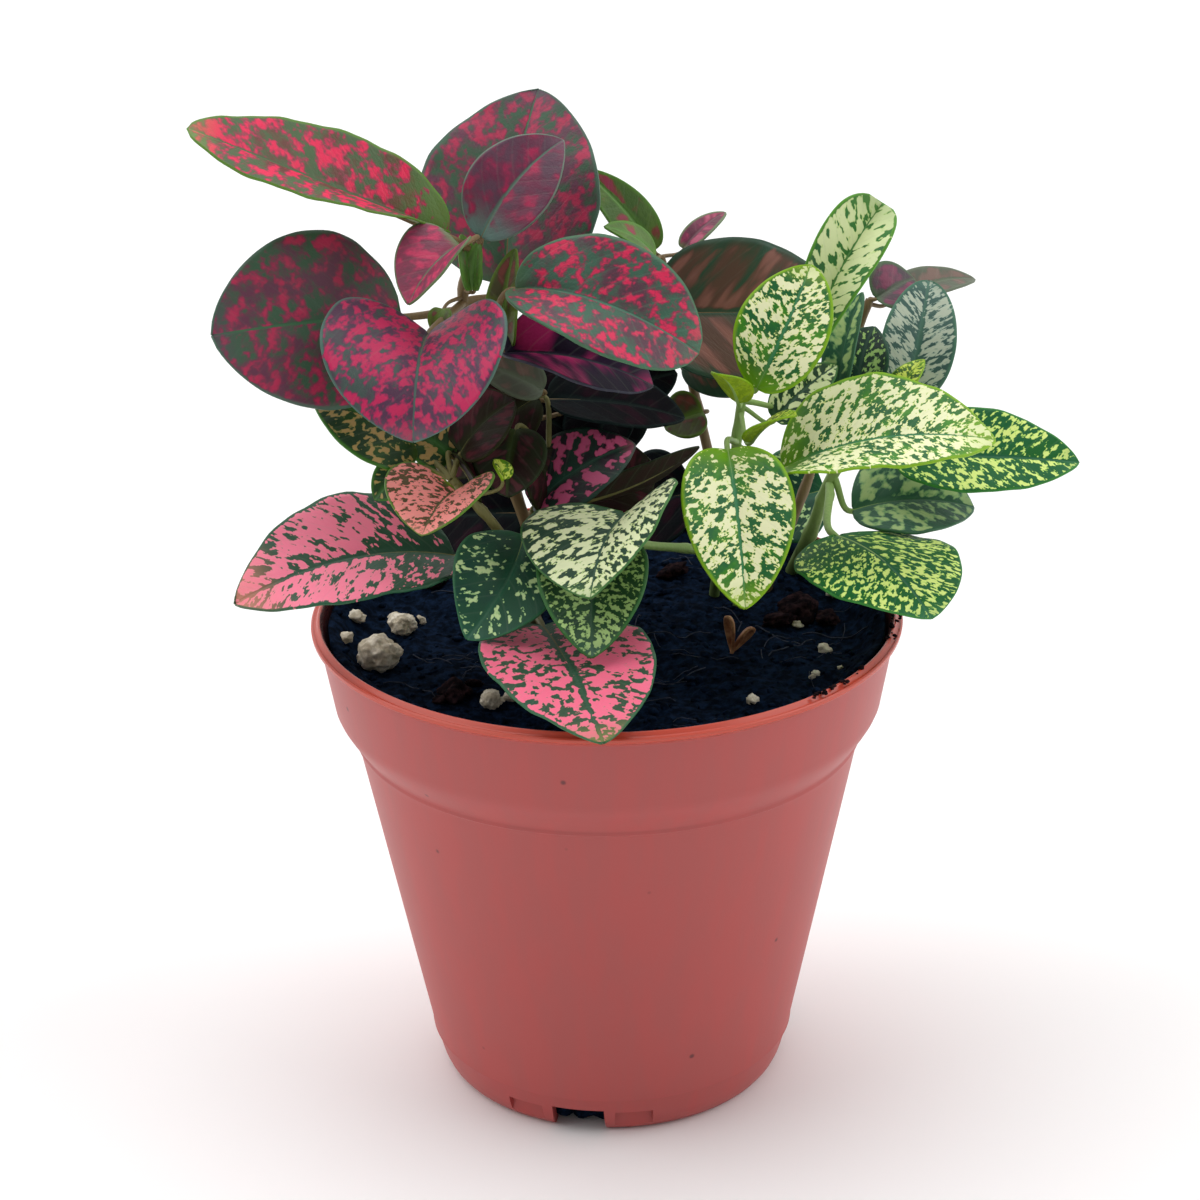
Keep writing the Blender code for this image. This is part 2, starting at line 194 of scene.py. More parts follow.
def mesh_from(graph: bmesh.types.BMesh, name: str, *materials: bpy.types.Material) -> bpy.types.Mesh:
    """Turn a bmesh into a smooth-shaded mesh with its materials.

    Args:
        graph: The bmesh, which is freed.
        name: The mesh's name.
        *materials: Its materials, in slot order.

    Returns:
        The mesh.
    """
    mesh = bpy.data.meshes.new(name)
    graph.to_mesh(mesh)
    graph.free()
    for material in materials:
        mesh.materials.append(material)
    mesh.shade_smooth()
    return mesh


def turned(section: tuple | list, steps: int) -> bmesh.types.BMesh:
    """Turn a section about the upright axis into a closed body.

    Args:
        section: Radius and height of each corner, in mm.
        steps: How many steps go round.

    Returns:
        The body's bmesh.
    """
    graph = bmesh.new()
    corners = [graph.verts.new((r * MM, 0.0, z * MM)) for r, z in section]
    edges = [graph.edges.new(pair) for pair in zip(corners, corners[1:])]
    bmesh.ops.spin(graph, geom=corners + edges, axis=(0, 0, 1), cent=(0, 0, 0), angle=math.tau,
                   steps=steps, use_merge=True)
    bmesh.ops.remove_doubles(graph, verts=graph.verts, dist=WELD)
    bmesh.ops.recalc_face_normals(graph, faces=graph.faces)
    return graph


def thicken(thing: bpy.types.Object, thickness: float, back: int = 0) -> None:
    """Give a bent sheet its thickness, half of it on each side.

    Args:
        thing: The sheet.
        thickness: Its thickness, in metres.
        back: How many material slots on its other face's material is.
    """
    shell = thing.modifiers.new("Thickness", "SOLIDIFY")
    shell.thickness = thickness
    shell.offset = 0.0
    shell.material_offset = back


def smooth_step(low: float, high: float, value: float) -> float:
    """Rise smoothly from 0 at low to 1 at high."""
    t = min(max((value - low) / (high - low), 0.0), 1.0)
    return t * t * (3.0 - 2.0 * t)


def smooth_path(points: tuple, steps: int) -> list[Vector]:
    """Follow a Catmull-Rom curve through a few given points.

    Args:
        points: The points, in millimetres.
        steps: How many even steps to take.

    Returns:
        The curve's points, in metres.
    """
    knots = [Vector(point) * MM for point in points]
    knots = [knots[0] * 2 - knots[1]] + knots + [knots[-1] * 2 - knots[-2]]
    spans = len(knots) - 3
    path = []
    for step in range(steps + 1):
        place = step / steps * spans
        span = min(int(place), spans - 1)
        t = place - span
        a, b, c, d = knots[span:span + 4]
        path.append(0.5 * (2 * b + (c - a) * t + (2 * a - 5 * b + 4 * c - d) * t * t
                           + (3 * b - a - 3 * c + d) * t ** 3))
    return path


def round_curve(name: str, material: bpy.types.Material, fineness: int) -> bpy.types.Curve:
    """Start a round curve whose points have their radii in millimetres.

    Args:
        name: The curve's name.
        material: Its material.
        fineness: How finely its section is divided.

    Returns:
        The curve, still without a spline.
    """
    curve = bpy.data.curves.new(name, "CURVE")
    curve.dimensions = "3D"
    curve.bevel_depth = MM
    curve.bevel_resolution = fineness
    curve.materials.append(material)
    return curve


def tube(name: str, path: list[Vector], radii: list[float], material: bpy.types.Material) -> bpy.types.Curve:
    """Make a round tube of changing radius along a path.

    Args:
        name: The curve's name.
        path: Its points, in metres.
        radii: The radius at each point, in millimetres.
        material: Its material.

    Returns:
        The curve.
    """
    curve = round_curve(name, material, 3)
    curve.use_fill_caps = True
    spline = curve.splines.new("POLY")
    spline.points.add(len(path) - 1)
    for point, place, radius in zip(spline.points, path, radii):
        point.co = (*place, 1.0)
        point.radius = radius
    spline.use_smooth = True
    return curve


# --- Leaf finishes -----------------------------------------------------------------------------
@dataclass(frozen=True)
class LeafFinish:
    """Living leaf of one colouring: a waxy green skin with patches that hold no green.

    Colours are sRGB hex. Sizes are millimetres on the flat blade, and shares are of its length.
    cover is the patches' share of the blade, size their width, and stretch how much longer
    they are along the side veins. shine is the skin's index of refraction, which is lower on
    some dark leaves, so that they have less sheen.
    """

    name: str
    ground: str
    shade: str
    spot: str
    halo: str
    mid: str
    margin: str
    base: str
    tip: str
    under: str
    cover: float = 0.5
    size: float = 1.0
    stretch: float = 1.5
    soft: float = 0.015
    midrib: float = 1.1
    rim: float = 0.8
    base_reach: float = 0.12
    tip_reach: float = 0.85
    vein: str = "8fa08a"
    vein_show: float = 0.06
    specks: float = 0.3
    gloss: float = 0.44
    shine: float = 1.4

    # How far apart in the noise the blade's halves lie, so that their patches don't mirror.
    HALVES_APART = 3.1
    # The weight of the widest noise, and how far the level drops from no cover to full cover.
    CLOUD = 0.25
    SPREAD = 0.36

    def flat_place(self, tree: bpy.types.NodeTree) -> dict[str, bpy.types.NodeSocket]:
        """Read where a point lies on the flat blade.

        Args:
            tree: The material's tree.

        Returns:
            Sockets: out (mm from the midrib), slant (mm across the side veins), share (of
            the length), rim (mm to the margin) and skin (a place for noise).
        """
        blade = add_node(tree, ATTRIBUTE, attribute_name="blade")
        along, side, seed = add_node(tree, SPLIT, {0: blade.outputs["Vector"]}).outputs
        where = add_node(tree, ATTRIBUTE, attribute_name="place")
        share, _, rim = add_node(tree, SPLIT, {0: where.outputs["Vector"]}).outputs
        out = add_node(tree, MATH, {0: side}, operation="ABSOLUTE").outputs[0]
        half = add_node(tree, MATH, {0: side}, operation="SIGN")
        lean = add_node(tree, MATH, {0: out, 1: VEIN_LEAN}, operation="MULTIPLY")
        bow = add_node(tree, MATH, {0: out, 1: out}, operation="MULTIPLY")
        lean = add_node(tree, MATH, {0: bow, 1: VEIN_BOW, 2: lean}, operation="MULTIPLY_ADD")
        slant = add_node(tree, MATH, {0: along, 1: lean}, operation="SUBTRACT").outputs[0]
        # The noise has one axis along the side veins, where it is stretched, and one across them.
        drawn_along, drawn_out = VEIN_ALONG / self.stretch, VEIN_OUT / self.stretch
        run = add_node(tree, MATH, {0: along, 1: drawn_along}, operation="MULTIPLY")
        run = add_node(tree, MATH, {0: out, 1: drawn_out, 2: run}, operation="MULTIPLY_ADD")
        cross = add_node(tree, MATH, {0: along, 1: VEIN_OUT}, operation="MULTIPLY")
        cross = add_node(tree, MATH, {0: out, 1: -VEIN_ALONG, 2: cross}, operation="MULTIPLY_ADD")
        depth = add_node(tree, MATH, {0: half, 1: self.HALVES_APART, 2: seed}, operation="MULTIPLY_ADD")
        skin = add_node(tree, JOIN, {0: run, 1: cross, 2: depth}).outputs[0]
        return {"out": out, "slant": slant, "share": share, "rim": rim, "skin": skin}

    def bands(self, tree: bpy.types.NodeTree, at: dict) -> dict[str, bpy.types.NodeSocket]:
        """Mark the green bands along the midrib, round the margin and at both ends.

        Args:
            tree: The material's tree.
            at: Sockets from flat_place.

        Returns:
            Sockets that are 1 inside each band, with veins and line for the ribs themselves.
        """
        taper = add_node(tree, RANGE, {0: at["share"], 1: 0.0, 2: 1.0, 3: self.midrib, 4: self.midrib * 0.2})
        near = add_node(tree, MATH, {0: at["out"], 1: taper}, operation="DIVIDE").outputs[0]
        comb = add_node(tree, MATH, {0: at["slant"], 1: VEIN_GAP / 2.0}, operation="PINGPONG").outputs[0]
        # Each band's measure, the two values that it fades between, and its strength at each.
        limits = {
            "mid": (near, 0.3, 1.5, 1.0, 0.0),
            "rim": (at["rim"], 0.1, self.rim, 1.0, 0.0),
            "foot": (at["share"], 0.0, self.base_reach, 1.0, 0.0),
            "tip": (at["share"], self.tip_reach, 1.0, 0.0, 1.0),
            "line": (at["out"], 0.08, 0.4, 1.0, 0.0),
            "veins": (comb, 0.05, 0.32, 1.0, 0.0),
        }
        return {name: add_node(tree, RANGE, dict(enumerate(values)), **SMOOTH).outputs[0]
                for name, values in limits.items()}

    def patches(self, tree: bpy.types.NodeTree, at: dict, bands: dict) -> dict[str, bpy.types.NodeSocket]:
        """Spread the coloured patches: ragged blotches, a little longer along the side veins.

        Args:
            tree: The material's tree.
            at: Sockets from flat_place.
            bands: Sockets from bands.

        Returns:
            Sockets: spot (1 in a patch) and core (1 well inside it).
        """
        noises = []
        for scale, rough, twist in ((0.5 / self.size, 0.4, 0.15), (1.3 / self.size, 0.5, 0.3)):
            noises.append(add_node(tree, NOISE, {"Vector": at["skin"], "Scale": scale, "Detail": 1.0,
                                                 "Roughness": rough, "Distortion": twist}))
        total, fine = noises
        cloud = add_node(tree, NOISE, {"Vector": at["skin"], "Scale": 0.13, "Detail": 1.0})
        for part, weight in ((fine, self.specks), (cloud, self.CLOUD), (bands["mid"], -0.28),
                             (bands["rim"], -0.32), (bands["foot"], -0.2)):
            total = add_node(tree, MATH, {0: part, 1: weight, 2: total}, operation="MULTIPLY_ADD")
        # Each noise is 0.5 on average. The level is their mean, lowered as the cover grows.
        level = 0.5 * (1.0 + self.CLOUD + self.specks) - self.SPREAD * (self.cover - 0.5)
        spot = add_node(tree, RANGE, {0: total, 1: level - self.soft, 2: level + self.soft}, **SMOOTH)
        core = add_node(tree, RANGE, {0: total, 1: level, 2: level + 2.0 * self.soft + 0.05}, **SMOOTH)
        return {"spot": spot.outputs[0], "core": core.outputs[0]}

    def relief(self, tree: bpy.types.NodeTree, at: dict, bands: dict, turn: float) -> bpy.types.Node:
        """Give the skin its fine relief: veins and a pebbled surface.

        Args:
            tree: The material's tree.
            at: Sockets from flat_place.
            bands: Sockets from bands.
            turn: -1 where the veins are sunk, and 1 where they stand up.

        Returns:
            The node that bends the normal.
        """
        # Skin cells are far finer, so the pebbling is drawn at 0.5 mm to show.
        high = add_node(tree, NOISE, {"Vector": at["skin"], "Scale": 2.0, "Detail": 3.0, "Roughness": 0.6})
        for rib, height in (("veins", 0.12), ("line", 0.8)):
            high = add_node(tree, MATH, {0: bands[rib], 1: height * turn, 2: high}, operation="MULTIPLY_ADD")
        return add_node(tree, BUMP, {"Strength": 0.5, "Distance": 0.0002, "Height": high})

    def upper(self) -> bpy.types.Material:
        """Make the upper face: green ground, patches, veins, margin and a soft waxy gloss.

        Returns:
            The face's material.
        """
        material, tree = new_material(f"leaf_{self.name}_upper")
        at = self.flat_place(tree)
        bands = self.bands(tree, at)
        marks = self.patches(tree, at, bands)
        mottle = add_node(tree, NOISE, {"Vector": at["skin"], "Scale": 0.2, "Detail": 4.0, "Roughness": 0.6})
        turn = add_node(tree, RANGE, {0: mottle, 1: 0.36, 2: 0.56}, **SMOOTH)
        green = lay_coats(tree, linear(self.ground), (
            (turn, self.shade, 1.0), (bands["mid"], self.mid, 0.9), (bands["foot"], self.base, 0.8),
            (bands["tip"], self.tip, 0.6), (bands["rim"], self.margin, 0.9)))
        patch = lay_coats(tree, linear(self.halo), (
            (marks["core"], self.spot, 1.0), (bands["tip"], self.tip, 0.35)))
        colour = add_node(tree, MIX, {0: marks["spot"], 6: green, 7: patch}, data_type="RGBA").outputs[2]
        ribs = add_node(tree, MATH, {0: bands["veins"], 1: bands["line"]}, operation="MAXIMUM")
        colour = lay_coats(tree, colour, ((ribs, self.vein, self.vein_show),))
        sheen = add_node(tree, RANGE, {0: mottle, 1: 0.3, 2: 0.7, 3: self.gloss - 0.05, 4: self.gloss + 0.08})
        skin = add_node(tree, SURFACE, {"Base Color": colour, "Roughness": sheen, "IOR": self.shine,
                                        "Normal": self.relief(tree, at, bands, -1.0)})
        add_node(tree, OUTPUT, {0: skin})
        return material

    def lower(self) -> bpy.types.Material:
        """Make the underside: paler, matt, with the patches showing faintly and raised veins.

        Returns:
            The face's material.
        """
        material, tree = new_material(f"leaf_{self.name}_under")
        at = self.flat_place(tree)
        bands = self.bands(tree, at)
        marks = self.patches(tree, at, bands)
        colour = lay_coats(tree, linear(self.under), (
            (marks["spot"], self.halo, 0.4), (bands["veins"], self.vein, 1.5 * self.vein_show)))
        skin = add_node(tree, SURFACE, {"Base Color": colour, "Roughness": 0.62, "IOR": self.shine,
                                        "Normal": self.relief(tree, at, bands, 1.0)})
        add_node(tree, OUTPUT, {0: skin})
        return material


class Tone(Enum):
    """The colourings of the three plants' leaves. Some are painted shade: darkened tones that stand
    for leaves in the shade of others.
    """

    # name, ground, shade, spot, halo, mid, margin, base, tip, under
    CRIMSON = LeafFinish(
        "crimson", "6f4038", "4f6844", "ec2858", "963a50", "4f6a44", "5f8a2c", "6a8a3a", "8aa85a", "7a8a52",
        cover=0.56, size=0.85, stretch=1.3, soft=0.07, rim=0.6, vein="6f8f6a", base_reach=0.3, specks=0.4,
        midrib=0.5)
    CRIMSON_DEEP = LeafFinish(
        "crimson_deep", "5a3846", "3c6450", "da2a56", "80344c", "4a7a64", "4f7a5a", "4f7a52", "4f7058",
        "5c6a4c", cover=0.54, size=0.72, stretch=1.2, soft=0.07, rim=0.6, vein="5f9078", vein_show=0.12,
        specks=0.4, midrib=0.4)
    DUSKY = LeafFinish(
        "dusky", "6a3a50", "3f6048", "bc3056", "7c3850", "3a7048", "4a6a58", "46704c", "5a4a5a", "4a5548",
        cover=0.54, size=0.95, stretch=1.1, soft=0.09, rim=0.7, vein="5f8070", vein_show=0.06, specks=0.4,
        midrib=0.5)
    ROSE_GREY = LeafFinish(
        "rose_grey", "6c2644", "5a3a4c", "ac1f4e", "7a2c4a", "52705f", "6f8474", "5f8c80", "745a68",
        "7a5a62", cover=0.5, size=1.1, stretch=1.2, soft=0.12, rim=0.3, vein="6f9080", vein_show=0.06,
        base_reach=0.3, midrib=0.5)
    SADDLE = LeafFinish(
        "saddle", "44544f", "54324c", "c4265a", "802c54", "4a6a60", "4f7468", "4a2644", "6a6f70", "6a3a5a",
        cover=0.68, size=0.6, stretch=1.3, soft=0.06, rim=0.5, vein="5f8070", vein_show=0.08, specks=0.4,
        midrib=0.5)
    SHADED = LeafFinish(
        "shaded", "24102c", "1c1424", "9c2258", "5a1840", "2a2438", "4a4a58", "2a2438", "4a3444", "3a4a3c",
        cover=0.6, size=2.0, stretch=2.6, soft=0.08, midrib=0.5, rim=0.4, shine=1.2)
    # Painted shade: near-black leaves that stand for leaves deep in the shade of the others.
    DARK = LeafFinish(
        "dark", "080e12", "0c0a10", "220c18", "160c14", "142020", "1a2626", "101a18", "161e1e", "161c1a",
        cover=0.34, size=1.6, soft=0.06, gloss=0.5, vein_show=0.02, shine=1.12)
    # Painted shade: the pink plant's leaves darkened to maroon and near black, as they look in the shade of
    # others.
    MAROON_SHADE = LeafFinish(
        "maroon", "2a1818", "2a2418", "54242c", "3c1c22", "2c3018", "2c3018", "2c3820", "30282a", "2c2a20",
        cover=0.5, size=0.9, stretch=2.2, soft=0.05, vein_show=0.03, shine=1.2)
    # Painted shade: the red patches dimmed to brown, as they look in the shade at the back of the plant.
    BROWN = LeafFinish(
        "brown", "2a4a34", "5a4032", "8a5a4e", "6a463a", "2a4a34", "244a36", "234a34", "3a4a34", "4a4f38",
        cover=0.50, size=1.2, stretch=5.0, soft=0.06, rim=2.0, vein_show=0.03)
    DRAB = LeafFinish(
        "drab", "5a6450", "565a4c", "7a6258", "6a5c50", "5f6a54", "64705a", "5f6a54", "6a6a5c", "5f6650",
        cover=0.45, size=1.2, stretch=2.0, soft=0.06)
    PLUM = LeafFinish(
        "plum", "5c3a48", "4f4048", "803c56", "6c3a50", "4f5a48", "4a6a44", "4a6a44", "5a5048", "5a4a48",
        cover=0.60, size=1.2, stretch=1.3, soft=0.06, rim=1.2)
    FRESH = LeafFinish(
        "fresh", "5f7f38", "4f6f34", "a03c54", "84503c", "5f8f3c", "5a8a30", "6f9a30", "6f8a48", "6a8a40",
        cover=0.40, size=1.5, soft=0.06)
    OLIVE = LeafFinish(
        "olive", "5a6f20", "4a4a28", "7a3f34", "5a3a28", "5a7a20", "5a7a20", "6a8a20", "5f6a3a", "5f6a2a",
        cover=0.42, size=1.2, soft=0.05)
    ROSE_BUD = LeafFinish(
        "rose_bud", "8c3450", "7a3a50", "ca3862", "a03458", "6a7a60", "5f7f50", "6a8a5a", "8a5a6a", "8a5a62",
        cover=0.52, size=0.8, soft=0.08, midrib=0.4, rim=0.4)
    ROSE_YOUNG = LeafFinish(
        "rose_young", "8a3458", "6a3448", "be5a78", "9a3458", "7a4a5a", "6f8a60", "7a8a5f", "8a5a6a",
        "8a5a62", cover=0.5, size=1.0, soft=0.06, midrib=0.5, rim=0.5)
    PINK = LeafFinish(
        "pink", "24503a", "34503a", "fa7292", "e8808c", "26523a", "2f6a44", "1f5034", "8a8a3a", "5a6a42",
        cover=0.66, size=0.7, stretch=1.3, midrib=1.3, rim=0.5, base_reach=0.14, specks=0.4)
    PINK_LEFT = LeafFinish(
        "pink_left", "24503a", "1f4a30", "ff829e", "f08a98", "24503a", "2a6040", "1a4a30", "ee9078",
        "5a6a42", cover=0.7, size=0.52, stretch=2.2, midrib=1.3, rim=0.6, base_reach=0.6, tip_reach=0.75,
        specks=0.4)
    SALMON = LeafFinish(
        "salmon", "44441f", "584a2a", "fa9a92", "ee8a7c", "5a5a24", "5f8a2a", "7aa010", "f2a890", "7f7a4a",
        cover=0.68, size=0.34, stretch=1.8, midrib=0.4, rim=0.4, specks=0.45)
    PINK_OLIVE = LeafFinish(
        "pink_olive", "27501a", "1a3c1c", "b89a5c", "8a8a48", "2f6a1a", "3f7a20", "4a6a20", "2a5a30",
        "3f5a34", cover=0.42, size=0.5, stretch=1.6, specks=0.3)
    PINK_SHADED = LeafFinish(
        "pink_shaded", "1c3c30", "281c28", "d45c88", "b0486c", "1f4838", "26463a", "26463a", "a83c60",
        "3a3a2c", cover=0.54, size=0.85, stretch=1.3, specks=0.3)
    # Painted shade: the pink plant's leaves under the others, dimmed to mauve brown as they look in shade.
    MAUVE = LeafFinish(
        "mauve", "30201f", "2a3020", "5c3438", "44282a", "3a4a20", "2c3a20", "3a4a20", "3a3028", "3a3428",
        cover=0.5, size=0.85, stretch=2.6, soft=0.04, vein_show=0.04, shine=1.25)
    CREAM = LeafFinish(
        "cream", "2c4a34", "1f4430", "eef6c6", "c4dc8c", "345c48", "4a8040", "3f6a44", "6a9a4a", "5f8050",
        cover=0.58, size=0.48, stretch=1.9, midrib=0.5, rim=0.4, specks=0.4)
    CREAM_LIME = LeafFinish(
        "cream_lime", "3f8a14", "1a6430", "f6f8c8", "dcec84", "2f8452", "8cbc10", "7cb000", "9ac020",
        "8fae3a", cover=0.58, size=0.44, stretch=1.6, midrib=0.5, rim=0.8, base_reach=0.24, specks=0.5,
        tip_reach=0.8)
    LIME_YOUNG = LeafFinish(
        "lime_young", "649c00", "235410", "dcec60", "bcd428", "7aa800", "8ab40a", "6f9a00", "9ab820",
        "8aa820", cover=0.5, size=0.32, midrib=0.15, rim=0.15, specks=0.5)
    GREEN_SPARSE = LeafFinish(
        "green_sparse", "164838", "1c5038", "cfe8a8", "9ccc84", "1c5c40", "2f7048", "1f6a3c", "26604a",
        "4f7a58", cover=0.24, size=0.5, stretch=1.4, midrib=1.6, rim=0.6, specks=0.3)
    CREAM_DULL = LeafFinish(
        "cream_dull", "1a3c24", "204826", "a8c87c", "789c54", "1f4c30", "347030", "2f5a30", "2f6048",
        "4f6f48", cover=0.52, size=0.36, stretch=1.4, specks=0.4)
    CREAM_TALL = LeafFinish(
        "cream_tall", "2f6a38", "367a34", "e2eeb4", "c8e090", "60a04a", "60a030", "7fb03a", "5a8a3a",
        "8fa86f", cover=0.7, size=0.5, stretch=2.2, midrib=0.6, rim=0.6, specks=0.3)
    GREY = LeafFinish(
        "grey", "3c5a55", "44645c", "bec8b4", "98b0a0", "44705f", "4a7a60", "5f8a70", "5f8a78", "7f9a88",
        cover=0.6, size=0.28, stretch=3.0, soft=0.025, specks=0.4)
    NIGHT = LeafFinish(
        "night", "082a22", "0c3022", "a0c470", "70a050", "124030", "205038", "205038", "1a4030", "3f5f4a",
        cover=0.34, size=0.45, stretch=1.2, specks=0.35)
    MIST = LeafFinish(
        "mist", "245a44", "2a5e48", "b4cc8c", "7cac74", "34684c", "3f7050", "34684c", "34684c", "5f8068",
        cover=0.50, size=0.7, stretch=1.6, soft=0.05)
    LIME_DARK = LeafFinish(
        "lime_dark", "1a6428", "186234", "e2f48c", "a8d860", "1f6444", "3f8a3c", "2f7a3c", "3a7a50",
        "6f9060", cover=0.4, size=0.4, stretch=1.8, midrib=0.8, rim=0.4, specks=0.4, shine=1.25)


# --- Leaves ------------------------------------------------------------------------------------
@dataclass(frozen=True)
class Leaf:
    """One leaf: where it grows, where its blade starts and ends, and how the blade is bent.

    root, base and tip are in mm. width is the flat blade's, in mm. roll turns the blade
    about the line from base to tip, and fold lifts its halves, in degrees. open is the share
    of the fold left at the tip. arch and sway bow the midrib up and sideways, as shares of
    the blade's length. belly and taper set the outline toward base and tip.
    """

    name: str
    tone: Tone
    root: tuple
    base: tuple
    tip: tuple
    width: float
    roll: float = 0.0
    arch: float = 0.10
    fold: float = 15.0
    open: float = 0.5
    sway: float = 0.0
    belly: float = 0.55
    taper: float = 0.75

    STALK_HALF = 0.8
    TIP_HALF = 0.1
    ROWS = 46
    HALF_COLUMNS = 12
    THICKNESS = 0.35
    MARGIN_SLANT = 0.9
    # The skin's relief on a blade 22 mm wide, in mm.
    RELIEF_WIDTH = 22.0
    PILLOW = 0.09
    GROOVE = 0.30
    WAVE = 0.22
    RIPPLE = 0.08
    WAVE_LENGTH = 11.0
    # The stalk's radius in mm: the least, and what a blade 24 mm wide adds.
    LEAST_STALK = 0.26
    STALK_GAIN = 0.3
    STALK_WIDTH = 24.0
    STALK_STEPS = 12
    RIB_STEPS = 15

    @property
    def seed(self) -> float:
        """A number of the leaf's own, from its name."""
        return sum(ord(letter) * (place + 1) for place, letter in enumerate(self.name)) % 97 * 1.37

    @property
    def length(self) -> float:
        """The blade's length along its chord, in mm."""
        return (Vector(self.tip) - Vector(self.base)).length

    def midline(self, u: float) -> tuple[Vector, Vector, Vector]:
        """Follow the midrib.

        Args:
            u: Share of the blade from base to tip.

        Returns:
            The place in metres, the direction and the upper face's normal.
        """
        base = Vector(self.base) * MM
        chord = Vector(self.tip) * MM - base
        along = chord.normalized()
        up = Vector((0.0, 0.0, 1.0))
        face = (up - along * up.dot(along)).normalized()
        face = Matrix.Rotation(math.radians(self.roll), 3, along) @ face
        bow = (face * self.arch + along.cross(face) * self.sway) * chord.length
        place = base + chord * u + bow * 4.0 * u * (1.0 - u)
        heading = (chord + bow * 4.0 * (1.0 - 2.0 * u)).normalized()
        return place, heading, (face - heading * face.dot(heading)).normalized()

    def half_width(self, u: float) -> float:
        """Find half of the flat blade's width.

        Args:
            u: Share of the blade's length.

        Returns:
            Half of the width there, in mm.
        """
        peak = self.belly / (self.belly + self.taper)
        full = peak ** self.belly * (1.0 - peak) ** self.taper
        outline = u ** self.belly * (1.0 - u) ** self.taper / full
        return self.width / 2.0 * outline + self.STALK_HALF * (1.0 - u) + self.TIP_HALF * u

    def lift(self, x: float, out: float, v: float) -> float:
        """Raise the skin between veins, sink the midrib and wave the margin.

        Args:
            x: Place along the blade, in mm.
            out: Distance from the midrib, in mm.
            v: Share of the half width.

        Returns:
            The lift in mm.
        """
        scale = min(self.width / self.RELIEF_WIDTH, 1.3)
        slant = x - VEIN_LEAN * out - VEIN_BOW * out * out
        pillow = math.sin(math.pi * slant / VEIN_GAP) ** 2
        pillow *= smooth_step(0.5, 2.5, out) * (1.0 - smooth_step(0.75, 1.0, abs(v)))
        groove = math.exp(-(out / 0.7) ** 2) * (1.0 - x / max(self.length, 1.0))
        phase = x * math.tau / self.WAVE_LENGTH + self.seed
        wave = self.WAVE * math.sin(phase) * abs(v) ** 3
        wave += self.RIPPLE * math.sin(phase * 2.3 + (1.0 if v > 0 else 4.0)) * abs(v) ** 4
        return scale * (self.PILLOW * pillow - self.GROOVE * groove + wave)

    def skin_point(self, u: float, v: float) -> tuple[Vector, tuple, tuple]:
        """Place one point of the blade.

        Args:
            u: Share of the blade's length.
            v: Share of the half width, from -1 to 1.

        Returns:
            The place in metres, and the blade and place attributes.
        """
        middle, along, normal = self.midline(u)
        reach = self.half_width(u)
        fold = math.radians(self.fold * (1.0 - (1.0 - self.open) * u))
        side = along.cross(normal)
        x, out = u * self.length, abs(v) * reach
        place = middle + (side * math.cos(fold) * v + normal * math.sin(fold) * abs(v)) * reach * MM
        place += normal * self.lift(x, out, v) * MM
        return place, (x, v * reach, self.seed), (u, v, reach * (1.0 - abs(v)) * self.MARGIN_SLANT)

    def blade(self, slot: str, dress: tuple) -> bpy.types.Object:
        """Build the blade: a fine grid bent to shape, with real thickness.

        Args:
            slot: The record's material slot.
            dress: Upper and lower materials.

        Returns:
            The blade, which stands for the CAD leaf if there is one.
        """
        graph = bmesh.new()
        columns = 2 * self.HALF_COLUMNS
        bmesh.ops.create_grid(graph, x_segments=self.ROWS, y_segments=columns, size=0.5)
        blade = graph.verts.layers.float_vector.new("blade")
        where = graph.verts.layers.float_vector.new("place")
        for vert in graph.verts:
            # Rows stand closer together toward both ends, where the outline turns most.
            row = round((vert.co.x + 0.5) * self.ROWS) / self.ROWS
            u = row * 0.6 + 0.4 * (1.0 - math.cos(math.pi * row)) / 2.0
            v = 1.0 - round((vert.co.y + 0.5) * columns) / self.HALF_COLUMNS
            vert.co, vert[blade], vert[where] = self.skin_point(u, v)
        nodes = (self.name,) if self.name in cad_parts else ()
        thing = add_object(self.name + "_blade", mesh_from(graph, self.name, *dress), slot, *nodes)
        thicken(thing, self.THICKNESS * MM, 1)
        return thing

    def stalk(self, slot: str, material: bpy.types.Material, start: Vector) -> bpy.types.Object:
        """Build the round stalk, which runs on under the blade as its midrib.

        Args:
            slot: The record's material slot.
            material: The stalk's material.
            start: The place on a shoot that it grows from, in metres.

        Returns:
            The stalk.
        """
        end, along, normal = self.midline(0.0)
        reach = (end - start).length
        first = start + (end - start) * 0.4
        second = end - along * reach * 0.35
        thick = self.LEAST_STALK + self.STALK_GAIN * min(self.width / self.STALK_WIDTH, 1.2)
        path, radii = [], []
        for step in range(self.STALK_STEPS):
            t = step / self.STALK_STEPS
            s = 1.0 - t
            place = start * s ** 3 + first * 3 * s * s * t + second * 3 * s * t * t + end * t ** 3
            path.append(place - normal * thick * MM * 0.5 * t)
            radii.append(thick * (1.25 - 0.3 * t))
        for step in range(self.RIB_STEPS):
            u = step / self.RIB_STEPS
            place, _, normal = self.midline(u)
            radius = thick * (0.95 - 0.8 * u)
            sink = self.lift(u * self.length, 0.0, 0.0) - radius * 0.45
            path.append(place + normal * sink * MM)
            radii.append(radius)
        curve = tube(self.name + "_stalk", path, radii, material)
        return add_object(self.name + "_stalk", curve, slot)


